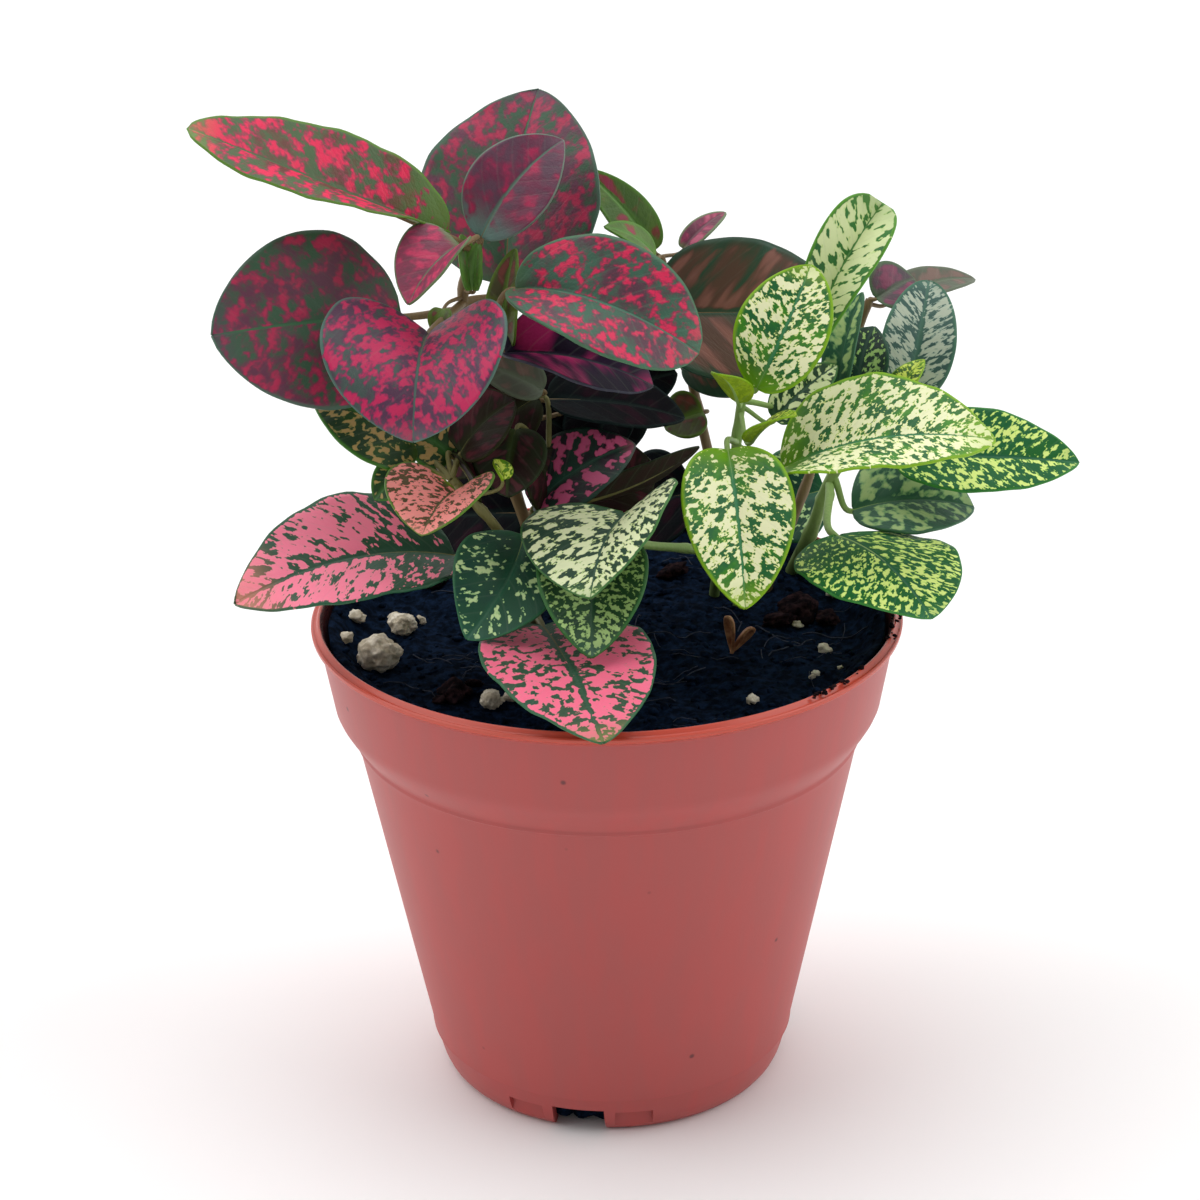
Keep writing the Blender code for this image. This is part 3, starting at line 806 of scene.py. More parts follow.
RED_LEAVES = (
    Leaf("red_leaf_long", Tone.CRIMSON, (-23, 8, 146), (-25, 3, 150), (-64.5, -8, 171), 19.5, roll=-26,
         arch=0.005, fold=44, open=0.0, taper=0.62),
    Leaf("red_leaf_back_top", Tone.DUSKY, (-18.5, 12, 137.5), (-16, 14, 138), (-10, 26, 168), 33, fold=8),
    Leaf("red_leaf_front_top", Tone.ROSE_GREY, (-18, 7, 148), (-19.5, 3, 149.5), (-6, 10, 163.5), 13.8,
         roll=40, fold=10, sway=-0.04, belly=0.65, taper=0.8),
    Leaf("red_leaf_bud", Tone.ROSE_BUD, (-21.5, 4.5, 148.5), (-22.5, -8, 151.5), (-30.5, -15, 144), 14.2,
         fold=32, belly=0.35),
    Leaf("red_leaf_round_left", Tone.DUSKY, (-25, 7, 136), (-33, 2, 136.5), (-62, -14, 139), 28.5,
         roll=-62, fold=6, belly=0.6, taper=0.65),
    Leaf("red_leaf_saddle", Tone.SADDLE, (-22, 5, 136), (-28, -8, 137), (-30, -26, 125), 32, fold=35,
         arch=0.2),
    Leaf("red_leaf_right_front", Tone.CRIMSON_DEEP, (-17, 2, 131), (-14, -4, 143), (15, -16, 135.5), 20.5,
         roll=38, arch=0.16, fold=35, open=0.1, belly=0.6, taper=0.55),
    Leaf("red_leaf_magenta", Tone.SHADED, (-17, 1, 129), (-16, -1, 131), (8, -4, 126), 18, roll=25,
         fold=40, open=0.1),
    Leaf("red_leaf_inner", Tone.DARK, (-15, 5, 124), (-9.5, 6, 120.5), (13.5, 8, 116), 15, roll=20,
         arch=0.05),
    Leaf("red_leaf_back_wide", Tone.BROWN, (11, 24, 126), (9.5, 21.5, 130), (40, 28, 126.5), 24.5,
         roll=60, belly=0.35, taper=0.5),
    Leaf("red_leaf_arching", Tone.FRESH, (9, 26, 139), (9, 29, 139), (-3, 27, 154), 7, roll=-70, sway=0.01),
    Leaf("red_leaf_crown_left", Tone.FRESH, (9, 24, 139), (9, 22, 140), (0.5, 18, 146.5), 5.5, roll=-30),
    Leaf("red_leaf_crown_right", Tone.ROSE_YOUNG, (11, 26, 139), (14, 28, 139.5), (21.5, 34, 144), 3.4,
         roll=20),
    Leaf("red_leaf_mauve", Tone.PLUM, (47, 26, 130), (47, 27, 130.5), (54, 33, 132), 9, roll=40),
    Leaf("red_leaf_pointed", Tone.DRAB, (47, 29, 129), (49, 30, 128.5), (65.5, 40, 129.5), 7, roll=20),
    Leaf("red_leaf_shaded", Tone.DARK, (14.5, 23, 107), (1.5, 16, 117), (-1.5, 8, 107), 13, roll=10),
    Leaf("red_leaf_olive", Tone.OLIVE, (15, 22.5, 111), (17, 18, 113.5), (10.5, 17, 111), 8.5, roll=-40),
    Leaf("red_leaf_rear_left", Tone.DARK, (-11, 12, 104), (-14, 19, 95), (-30, 25, 91.5), 17, roll=-55),
    Leaf("red_leaf_rear_right", Tone.DARK, (20, 26.5, 98), (15.5, 30, 94), (3, 33, 89.5), 17, roll=-55),
)
PINK_LEAVES = (
    Leaf("pink_leaf_left", Tone.PINK_LEFT, (-16, -8, 97), (-25, -7, 98), (-60, -22, 96), 25, roll=-20,
         arch=0.12),
    Leaf("pink_leaf_front", Tone.PINK, (-8, -4, 87), (-10.5, -16, 89), (-1, -54.5, 86), 27, fold=9,
         arch=0.05),
    Leaf("pink_leaf_salmon", Tone.SALMON, (-24, -13, 112), (-24, -14, 112), (-29, -28, 110), 19, fold=35),
    Leaf("pink_leaf_olive", Tone.PINK_OLIVE, (-26, -10, 114), (-30.5, -6, 117), (-47, -9, 126.5), 19,
         roll=-40),
    Leaf("pink_leaf_shaded", Tone.PINK_SHADED, (-10, -2, 102), (-12, -3.5, 105), (5, -1.5, 115), 15, roll=30),
    Leaf("pink_leaf_brown", Tone.MAROON_SHADE, (-24, -10, 115), (-23.5, -8, 116.5), (-14.5, -6, 124.5), 16,
         roll=20),
    Leaf("pink_leaf_mauve", Tone.MAUVE, (-10, -1, 113), (-14.5, -4.5, 119), (-16, -10.5, 109.5), 12),
    Leaf("pink_leaf_under", Tone.MAUVE, (-7, 1, 101), (-3.5, 4, 103), (16, 9, 110.5), 8, roll=-50,
         arch=-0.06),
    Leaf("pink_leaf_rear", Tone.MAROON_SHADE, (-7, 3, 96), (-6, 14, 99.5), (8.5, 17, 104), 17, roll=50),
)
WHITE_LEAVES = (
    Leaf("white_leaf_saddle", Tone.CREAM, (-2, -8, 101), (3.5, -13.5, 107.5), (-2.5, -34.5, 101.5), 28,
         roll=20, fold=24, belly=0.4),
    Leaf("white_leaf_lower", Tone.CREAM_DULL, (-2, -8, 100), (-2, -13, 101), (-2.5, -36, 92), 18.5, fold=30),
    Leaf("white_leaf_dark", Tone.GREEN_SPARSE, (-3, -6, 100), (-13.5, -11, 103), (-22.5, -28, 92), 17.8,
         roll=-17, sway=-0.08),
    Leaf("white_leaf_hanging", Tone.CREAM_LIME, (22, 1, 113), (20, -10, 117), (22, -29, 97), 18, fold=20),
    Leaf("white_leaf_bud_left", Tone.LIME_YOUNG, (22, 0, 121), (22, -4, 123), (18, -10, 130), 6),
    Leaf("white_leaf_bud_right", Tone.LIME_YOUNG, (24, 0, 119), (24, -6, 117), (31, -11, 123), 7),
    Leaf("white_leaf_upper", Tone.CREAM_LIME, (24, 0, 125), (25, -3, 125), (34, 3, 144), 15, roll=35,
         sway=0.04, belly=0.65, taper=0.7),
    Leaf("white_leaf_tall", Tone.CREAM_TALL, (24, 3, 121), (32, 7, 119.5), (46.5, 14, 151), 13.2, roll=45,
         fold=36, open=1.0, belly=1.4, taper=0.4, sway=-0.04),
    Leaf("white_leaf_wide", Tone.CREAM_LIME, (24, 0, 112), (29, -6, 112), (63, -13, 119), 26, roll=17,
         fold=26, open=0.2),
    Leaf("white_leaf_far_right", Tone.LIME_DARK, (45, 9, 111), (49, 8, 108.5), (79.5, 4, 108.5), 17.8,
         roll=30, arch=0.03),
    Leaf("white_leaf_grey", Tone.GREY, (45, 10, 115), (52, 18, 115.5), (56, 27, 133.5), 12, roll=20,
         belly=0.45, taper=0.55),
    Leaf("white_leaf_spotted", Tone.NIGHT, (42, 11, 115), (43, 15, 118), (46, 19, 128), 11),
    Leaf("white_leaf_shoot", Tone.LIME_YOUNG, (43, 9, 116), (49, 9, 118), (54, 13, 124), 5),
    Leaf("white_leaf_low_right", Tone.MIST, (40.5, 9, 104), (42, 7, 99.5), (62.5, 7, 99.5), 21, roll=20),
    Leaf("white_leaf_low_saddle", Tone.LIME_DARK, (37, 5, 103), (38.5, -5.5, 100), (52, -26, 93.5), 30,
         roll=-4, fold=-5),
    Leaf("white_leaf_rear", Tone.GREEN_SPARSE, (34.5, 26.5, 84), (39, 32, 93.5), (28, 34, 88.5), 17,
         roll=-55),
)

# Small and hidden leaves that fill the middle of each plant. The dark ones among them are painted
# shade: dark leaves set where the middle of a plant lies in shade. The CAD has none of them.
RED_SMALL = (
    Leaf("red_hidden_upper", Tone.DARK, (-18, 9, 120.5), (-18, 12, 118), (-6.5, 15, 111.5), 17, roll=50),
    Leaf("red_hidden_lower", Tone.DARK, (-17, 10, 112), (-11, 14, 108), (7.5, 17, 112), 12, roll=55),
    Leaf("red_hidden_right", Tone.DARK, (-7.5, 9, 119), (-0.5, 14, 117.5), (12.5, 20, 120), 9, roll=50),
    Leaf("red_hidden_back", Tone.BROWN, (15, 24, 116), (14, 22, 121), (26, 20, 117), 9, roll=50),
    Leaf("red_small_grey", Tone.DRAB, (-12, 4, 122.5), (-10, 2, 123.5), (-21, 3, 128), 6.5, roll=-50),
    Leaf("red_small_olive", Tone.OLIVE, (-17, 4, 131), (-15.5, 1, 131.5), (-14, 3, 147.5), 6, fold=25),
    Leaf("red_bract_left", Tone.FRESH, (-20.5, 8, 138.5), (-21.5, 5, 140), (-23, 8, 148.5), 3.2, fold=30),
    Leaf("red_bract_right", Tone.FRESH, (-20.5, 8, 138.5), (-21, 5, 140), (-20, 7, 147.5), 2.8, fold=30),
    Leaf("red_small_oval", Tone.OLIVE, (-22, 6, 138), (-26, 1, 138), (-27, -2, 134.5), 3),
)
PINK_SMALL = (
    Leaf("pink_small_green", Tone.PINK_OLIVE, (-30, -10, 114.5), (-32, -9, 114.5), (-37.5, -12, 110), 6,
         roll=-40),
    Leaf("pink_curled_tip", Tone.LIME_YOUNG, (-18.5, -10, 112.5), (-16.5, -13, 113.5), (-18, -12, 116.5),
         3.2, fold=35),
    Leaf("pink_hidden_left", Tone.MAROON_SHADE, (-22, -9, 119), (-25, -7, 116), (-21, -8, 106), 9, roll=-20),
    Leaf("pink_hidden_middle", Tone.MAROON_SHADE, (-12.5, 0, 113.5), (-11.5, -1, 113.5), (-8, -2, 102), 11,
         roll=30),
    Leaf("pink_hidden_olive", Tone.PINK_OLIVE, (-25, -8, 114), (-25, -6, 115), (-32, -4, 119.5), 8, roll=-50),
    Leaf("pink_hidden_wide", Tone.MAROON_SHADE, (-9, 1, 112), (-11, 3, 122), (-28, 1, 109), 13, roll=-50),
)
WHITE_SMALL = (
    Leaf("white_small_back", Tone.CREAM, (24, 3, 120), (28.5, 4, 117), (39, 8, 125), 7, roll=35),
    Leaf("white_small_green", Tone.MIST, (39, 9, 113), (39.5, 9, 119), (43.5, 13, 136), 6, fold=25),
)


# --- Stems -------------------------------------------------------------------------------------
@dataclass(frozen=True)
class StemFinish:
    """Young herb stem: soft green skin with a waxy bloom, browner and drier at its foot."""

    name: str
    fresh: str
    pale: str
    foot: str

    # Height in mm at which the foot's colour has faded out.
    FOOT_TOP = 98.0

    def build(self) -> bpy.types.Material:
        """Make the stem's material: streaks along its length, and a soft satin skin.

        Returns:
            The material.
        """
        material, tree = new_material(self.name)
        place = add_node(tree, PLACE).outputs["Object"]
        height = add_node(tree, SPLIT, {0: place}).outputs[2]
        # Streaks along the stem are about 0.4 mm wide and 8 mm long.
        drawn = add_node(tree, STRETCH, {0: place, 3: (2500.0, 2500.0, 120.0)})
        streak = add_node(tree, NOISE, {"Vector": drawn, "Scale": 1.0, "Detail": 3.0})
        low = add_node(tree, RANGE, {0: height, 1: MIX_LEVEL * MM, 2: self.FOOT_TOP * MM, 3: 0.7, 4: 0.0})
        colour = lay_coats(tree, linear(self.fresh), ((streak, self.pale, 1.0), (low, self.foot, 1.0)))
        bump = add_node(tree, BUMP, {"Strength": 0.4, "Distance": 0.0001, "Height": streak})
        skin = add_node(tree, SURFACE, {"Base Color": colour, "Roughness": 0.48, "IOR": 1.42, "Normal": bump})
        add_node(tree, OUTPUT, {0: skin})
        return material


@dataclass(frozen=True)
class Stem:
    """One shoot: its radius and the points that it passes, in mm, from the mix to its top."""

    name: str
    radius: float
    points: tuple

    STEPS = 44
    TAPER = 0.7
    SLIM = 0.85
    NODES = (0.28, 0.55, 0.78, 0.97)
    NODE_REACH = 0.03
    SWELL = 0.22
    SUNK = 1.5

    def build(self, material: bpy.types.Material) -> bpy.types.Object:
        """Build the shoot: a tapering tube, swollen where leaf pairs join it.

        Args:
            material: The stem's material.

        Returns:
            The shoot, which stands for the CAD stem.
        """
        path = smooth_path(self.points, self.STEPS)
        path[0].z -= self.SUNK * MM
        radii = []
        for step in range(self.STEPS + 1):
            t = step / self.STEPS
            swell = self.SWELL * sum(math.exp(-((t - node) / self.NODE_REACH) ** 2) for node in self.NODES)
            radii.append(self.radius * self.SLIM * (1.0 - (1.0 - self.TAPER) * t) * (1.0 + swell))
        curve = tube(self.name + "_shoot", path, radii, material)
        return add_object(self.name + "_shoot", curve, "stem", self.name)


RED_STEMS = (
    Stem("red_stem_left", 1.3, ((-9, 15, 79), (-15, 13, 100), (-21, 10, 122), (-23, 8, 138), (-20, 8, 148))),
    Stem("red_stem_middle", 1.2, ((-4, 11, 79), (-10, 9, 98), (-16, 6, 116), (-19, 3, 131))),
    Stem("red_stem_back", 1.2, ((24, 25, 79), (19, 24, 100), (15, 24, 118), (10, 25, 139))),
    Stem("red_stem_right", 1.1, ((28, 20, 79), (36, 24, 100), (42, 27, 118), (46, 28, 130))),
)
PINK_STEMS = (
    Stem("pink_stem_left", 1.2, ((-12, 0, 79), (-13, -6, 92), (-18, -10, 104), (-25, -11, 113))),
    Stem("pink_stem_middle", 1.1, ((-6, 2, 79), (-8, 0, 90), (-9, -0.5, 100), (-9, 0.5, 112))),
)
WHITE_STEMS = (
    Stem("white_stem_middle", 1.3, ((23, 14, 79), (24, 9, 94), (22, 4, 110), (23, 1, 124))),
    Stem("white_stem_right", 1.5, ((33, 28, 79), (36, 16, 93), (38, 10, 103), (43, 9, 114))),
    Stem("white_stem_left", 1.1, ((19, 19, 79), (19, 13, 88), (15, 6, 93), (7, 1, 96), (-1, -6, 101))),
)


@dataclass
class Plant:
    """One rooted plant: its shoots and its leaves, and the leaf materials made so far."""

    kind: str
    stems: tuple
    leaves: tuple
    stem_material: bpy.types.Material
    dresses: dict

    def nearest(self, root: tuple) -> Vector:
        """Find the place on the plant's shoots that is nearest to a leaf's root.

        Args:
            root: The leaf's root, in mm.

        Returns:
            The place, in metres.
        """
        places = [place for stem in self.stems for place in smooth_path(stem.points, stem.STEPS)]
        return min(places, key=lambda place: (place - Vector(root) * MM).length)

    def dress(self, tone: Tone) -> tuple:
        """Make a tone's two faces once, and hand them out after that.

        Args:
            tone: The leaf's colouring.

        Returns:
            The upper and lower materials.
        """
        if tone not in self.dresses:
            self.dresses[tone] = (tone.value.upper(), tone.value.lower())
        return self.dresses[tone]

    def build(self) -> None:
        """Build every shoot, blade and stalk."""
        for stem in self.stems:
            stem.build(self.stem_material)
            LOG.info("shoot %s", stem.name)
        for leaf in self.leaves:
            leaf.blade(f"{self.kind}_leaf", self.dress(leaf.tone))
            leaf.stalk("stem", self.stem_material, self.nearest(leaf.root))
            LOG.info("leaf %s", leaf.name)


# --- Pot ---------------------------------------------------------------------------------------
@dataclass(frozen=True)
class PolypropyleneFinish:
    """Terracotta-coloured polypropylene, injection moulded: satin skin, glossier thin lip, whose
    brighter, more orange colour is a painted highlight.

    The dark coat on the wall's inside is partly painted shade, where shade falls inside the pot,
    and partly the mix's staining. It covers what lies above its _from heights, within a cone that
    slopes as the wall does and has cone_foot for its radius at height 0. These are in metres.
    """

    name: str = "moulded_terracotta_polypropylene"
    body: str = "ac4c49"
    pale: str = "b24a47"
    # Painted highlight: the lip is coloured brighter and more orange than the body.
    lip: str = "c24a38"
    soot: str = "4a2024"
    # Painted shade and the mix's staining, on the wall's inside.
    shade_and_stain: str = "1e1214"
    lip_from: tuple = (0.0822, 0.0838)
    shade_and_stain_from: tuple = (0.0715, 0.072)
    cone_foot: tuple = (0.0341, 0.0344)
    slope: float = 0.17
    ragged: float = 0.0005

    def build(self) -> bpy.types.Material:
        """Make the plastic: faint draw streaks down the wall, dust specks, a lip painted brighter as a
        highlight, and the wall's inside painted dark as shade and the mix's staining.

        Returns:
            The material.
        """
        material, tree = new_material(self.name)
        place = add_node(tree, PLACE).outputs["Object"]
        height = add_node(tree, SPLIT, {0: place}).outputs[2]
        # Draw streaks are about 2 mm wide and run the wall's whole height.
        drawn = add_node(tree, STRETCH, {0: place, 3: (260.0, 260.0, 12.0)})
        streak = add_node(tree, NOISE, {"Vector": drawn, "Scale": 1.0, "Detail": 4.0, "Roughness": 0.55})
        faded = add_node(tree, RANGE, {0: streak, 1: 0.35, 2: 0.65}, **SMOOTH)
        # The lip's band is painted brighter and more orange, a painted highlight on its bead, and is
        # glossier.
        low, high = self.lip_from
        lip = add_node(tree, RANGE, {0: height, 1: low, 2: high}, **SMOOTH)
        # The wall's inside is painted dark up to a ragged line: painted shade where shade falls inside
        # the pot, and the mix's staining.
        flat = add_node(tree, VECTOR, {0: place, 1: (1.0, 1.0, 0.0)}, operation="MULTIPLY")
        reach = add_node(tree, VECTOR, {0: flat}, operation="LENGTH").outputs[1]
        noisy = add_node(tree, NOISE, {"Vector": place, "Scale": 350.0, "Detail": 3.0})
        for part, weight in ((height, -self.slope), (noisy, self.ragged)):
            reach = add_node(tree, MATH, {0: part, 1: weight, 2: reach}, operation="MULTIPLY_ADD")
        low, high = self.cone_foot
        inner = add_node(tree, RANGE, {0: reach, 1: low, 2: high, 3: 0.9, 4: 0.0}, **SMOOTH)
        low, high = self.shade_and_stain_from
        above = add_node(tree, RANGE, {0: height, 1: low, 2: high}, **SMOOTH)
        inner = add_node(tree, MATH, {0: inner, 1: above}, operation="MULTIPLY")
        # Dust specks: one in a few 7 mm cells, each about half a millimetre across.
        cell = add_node(tree, VORONOI, {"Vector": place, "Scale": 140.0, "Randomness": 1.0})
        pick = add_node(tree, SPLIT, {0: cell.outputs["Color"]})
        rare = add_node(tree, MATH, {0: pick, 1: 0.80}, operation="GREATER_THAN")
        dot = {0: cell.outputs["Distance"], 1: 0.03, 2: 0.09, 3: 0.8, 4: 0.0}
        speck = add_node(tree, MATH, {0: rare, 1: add_node(tree, RANGE, dot, **SMOOTH)}, operation="MULTIPLY")
        # The inside's dark coat is painted shade and the mix's staining.
        colour = lay_coats(tree, linear(self.body), (
            (faded, self.pale, 1.0), (lip, self.lip, 1.0), (inner, self.shade_and_stain, 1.0), (speck, self.soot, 1.0)))
        rough = add_node(tree, RANGE, {0: lip, 1: 0.0, 2: 1.0, 3: 0.44, 4: 0.26})
        # Spark-eroded mould texture is finer than 0.1 mm, so it is drawn at 0.5 mm to show.
        grain = add_node(tree, NOISE, {"Vector": place, "Scale": 2200.0, "Detail": 2.0})
        bump = add_node(tree, BUMP, {"Strength": 0.12, "Distance": 0.0001, "Height": grain})
        wall = add_node(tree, SURFACE, {"Base Color": colour, "Roughness": rough, "IOR": 1.49,
                                        "Normal": bump})
        add_node(tree, OUTPUT, {0: wall})
        return material


@dataclass
class NurseryPot:
    """Thin turned pot: lip, collar, tapered body, foot with drain slots and shallow recesses.

    A cut's size is its depth, width and height, and its reach is from the axis to its middle,
    in mm. Angles are degrees round the foot.
    """

    material: bpy.types.Material
    steps: int = 192
    slot_angle: float = 258.5
    slot_count: int = 3
    slot_size: tuple = (8.0, 9.0, 10.0)
    slot_reach: float = 28.2
    recess_turn: float = 18.0
    recess_size: tuple = (4.0, 6.5, 9.2)
    recess_reach: float = 31.6
    crease: float = 35.0
    outside: tuple = (
        (48.75, 85.0), (48.95, 84.85), (49.15, 84.45), (49.4, 84.3), (49.75, 84.4), (49.97, 84.2),
        (50.0, 83.95), (49.95, 83.6), (49.6, 83.3), (49.1, 83.05), (48.8, 82.8), (46.75, 71.2),
        (46.6, 70.3), (46.15, 69.2),
        (45.4, 67.9), (44.6, 66.7), (43.8, 65.6), (43.45, 65.0), (43.4, 64.7), (43.5, 64.4), (43.45, 64.15),
        (43.1, 63.9), (43.0, 63.6), (42.85, 62.8), (31.85, 8.0), (31.95, 7.7), (31.9, 7.4), (31.45, 7.15),
        (30.9, 4.6), (30.4, 2.8), (29.8, 1.5), (29.1, 0.6), (28.3, 0.1), (28.0, 0.0),
    )
    under: tuple = ((26.4, 0.0), (26.2, 0.2), (25.6, 2.4), (22.8, 2.4), (22.1, 0.1), (22.0, 0.0), (0.0, 0.0))
    inside: tuple = (
        (0.0, 1.2), (21.4, 1.2), (22.2, 3.6), (28.6, 3.6), (30.9, 7.6), (42.1, 63.6), (42.9, 65.4),
        (43.8, 66.8), (45.0, 68.9), (45.8, 71.0), (47.8, 83.4), (48.2, 84.6), (48.5, 84.95), (48.75, 85.0),
    )

    @property
    def slots(self) -> list[float]:
        """The middle of each drain slot, in degrees."""
        return [self.slot_angle + 360.0 / self.slot_count * index for index in range(self.slot_count)]

    def cutter(self, angle: float, size: tuple, reach: float) -> bpy.types.Object:
        """Make a box that cuts the foot.

        Args:
            angle: Where round the foot, in degrees.
            size: Its depth, width and height, in mm.
            reach: Its middle's distance from the axis, in mm.

        Returns:
            The cutter, which is no piece of the pot.
        """
        graph = bmesh.new()
        turn = Matrix.Rotation(math.radians(angle), 4, "Z")
        place = Matrix.Translation((reach * MM, 0.0, 0.0))
        scale = Matrix.Diagonal((size[0] * MM, size[1] * MM, size[2] * MM, 1.0))
        bmesh.ops.create_cube(graph, size=1.0, matrix=turn @ place @ scale)
        return link_object("foot_cutter", mesh_from(graph, "foot_cutter"))

    def build(self) -> bpy.types.Object:
        """Turn the wall's section, cut the foot and keep the result.

        Returns:
            The pot, which stands for the CAD pot.
        """
        graph = turned(self.inside[:-1] + self.outside + self.under, self.steps)
        shell = mesh_from(graph, "turned_pot", self.material)
        pot = add_object("turned_pot", shell, "pot_plastic", "nursery_pot")
        cutters = []
        for middle in self.slots:
            cutters.append(self.cutter(middle, self.slot_size, self.slot_reach))
            for turn in (-self.recess_turn, self.recess_turn):
                cutters.append(self.cutter(middle + turn, self.recess_size, self.recess_reach))
        for cutter in cutters:
            cut = pot.modifiers.new("Cut", "BOOLEAN")
            cut.operation = "DIFFERENCE"
            cut.solver = "EXACT"
            cut.object = cutter
        graph = bmesh.new()
        solid = bpy.data.meshes.new_from_object(pot.evaluated_get(bpy.context.evaluated_depsgraph_get()))
        graph.from_mesh(solid)
        pot.modifiers.clear()
        pot.data = mesh_from(graph, "turned_pot", self.material)
        pot.data.set_sharp_from_angle(angle=math.radians(self.crease))
        for cutter in cutters:
            bpy.data.objects.remove(cutter)
        LOG.info("pot with %d drain slots", self.slot_count)
        return pot


# --- Potting mix and loose bits ----------------------------------------------------------------
@dataclass(frozen=True)
class CrumbFinish:
    """Loose organic or mineral crumb: rough, with two colours mottled at the crumb's scale.

    grain is the mottling's size in mm. shine is the index of refraction: a low one keeps
    moist peat and bark free of a grey sheen.
    """

    name: str
    dark: str
    light: str
    grain: float
    rough: float = 0.9
    shine: float = 1.3

    def build(self) -> bpy.types.Material:
        """Make the crumb's material: mottled colour and a rough broken surface.

        Returns:
            The material.
        """
        material, tree = new_material(self.name)
        place = add_node(tree, PLACE).outputs["Object"]
        scale = 1.0 / MM / self.grain
        spots = add_node(tree, NOISE, {"Vector": place, "Scale": scale, "Detail": 4.0, "Roughness": 0.65})
        turn = add_node(tree, RANGE, {0: spots, 1: 0.38, 2: 0.68}, **SMOOTH)
        bump = add_node(tree, BUMP, {"Strength": 0.8, "Distance": 0.0003, "Height": spots})
        body = add_node(tree, SURFACE, {
            "Base Color": lay_coats(tree, linear(self.dark), ((turn, self.light, 1.0),)),
            "Roughness": self.rough, "IOR": self.shine, "Normal": bump})
        add_node(tree, OUTPUT, {0: body})
        return material


def mix_height(x: float, y: float) -> float:
    """Find the height of the mix's surface, without its crumbs.

    Args:
        x: The place, in metres.
        y: The place, in metres.

    Returns:
        Its height, in metres.
    """
    u, v = x / MM, y / MM
    wide = 0.8 * math.sin(0.11 * u + 1.0) * math.cos(0.13 * v - 0.5)
    fine = 0.4 * math.sin(0.31 * u - 0.8 + 0.23 * v)
    return (MIX_LEVEL + wide + fine) * MM


def add_lump(graph: bmesh.types.BMesh, place: Vector, size: tuple, detail: int, rng: random.Random,
             rough: float = 0.22) -> None:
    """Add one broken lump to a mesh.

    Args:
        graph: The mesh to add to.
        place: The lump's middle, in metres.
        size: Its three half sizes, in metres.
        detail: How finely it is divided.
        rng: The seeded source of its turn and its breaks.
        rough: Depth of its breaks, as a share of its size.
    """
    turn = Matrix.Rotation(rng.uniform(0.0, math.tau), 3, "Z")
    tip = Matrix.Rotation(rng.uniform(-0.5, 0.5), 3, "X")
    shift = Vector((rng.uniform(0, 99), rng.uniform(0, 99), rng.uniform(0, 99)))
    made = bmesh.ops.create_icosphere(graph, subdivisions=detail, radius=1.0)
    for vert in made["verts"]:
        spot = vert.co * 1.3 + shift
        bump = noise.noise(spot) * 1.6 + noise.noise(spot * 2.7) * 0.7 + noise.noise(spot * 6.0) * 0.3
        bent = Vector([c * s * (1.0 + rough * bump) for c, s in zip(vert.co, size)])
        vert.co = place + turn @ (tip @ bent)


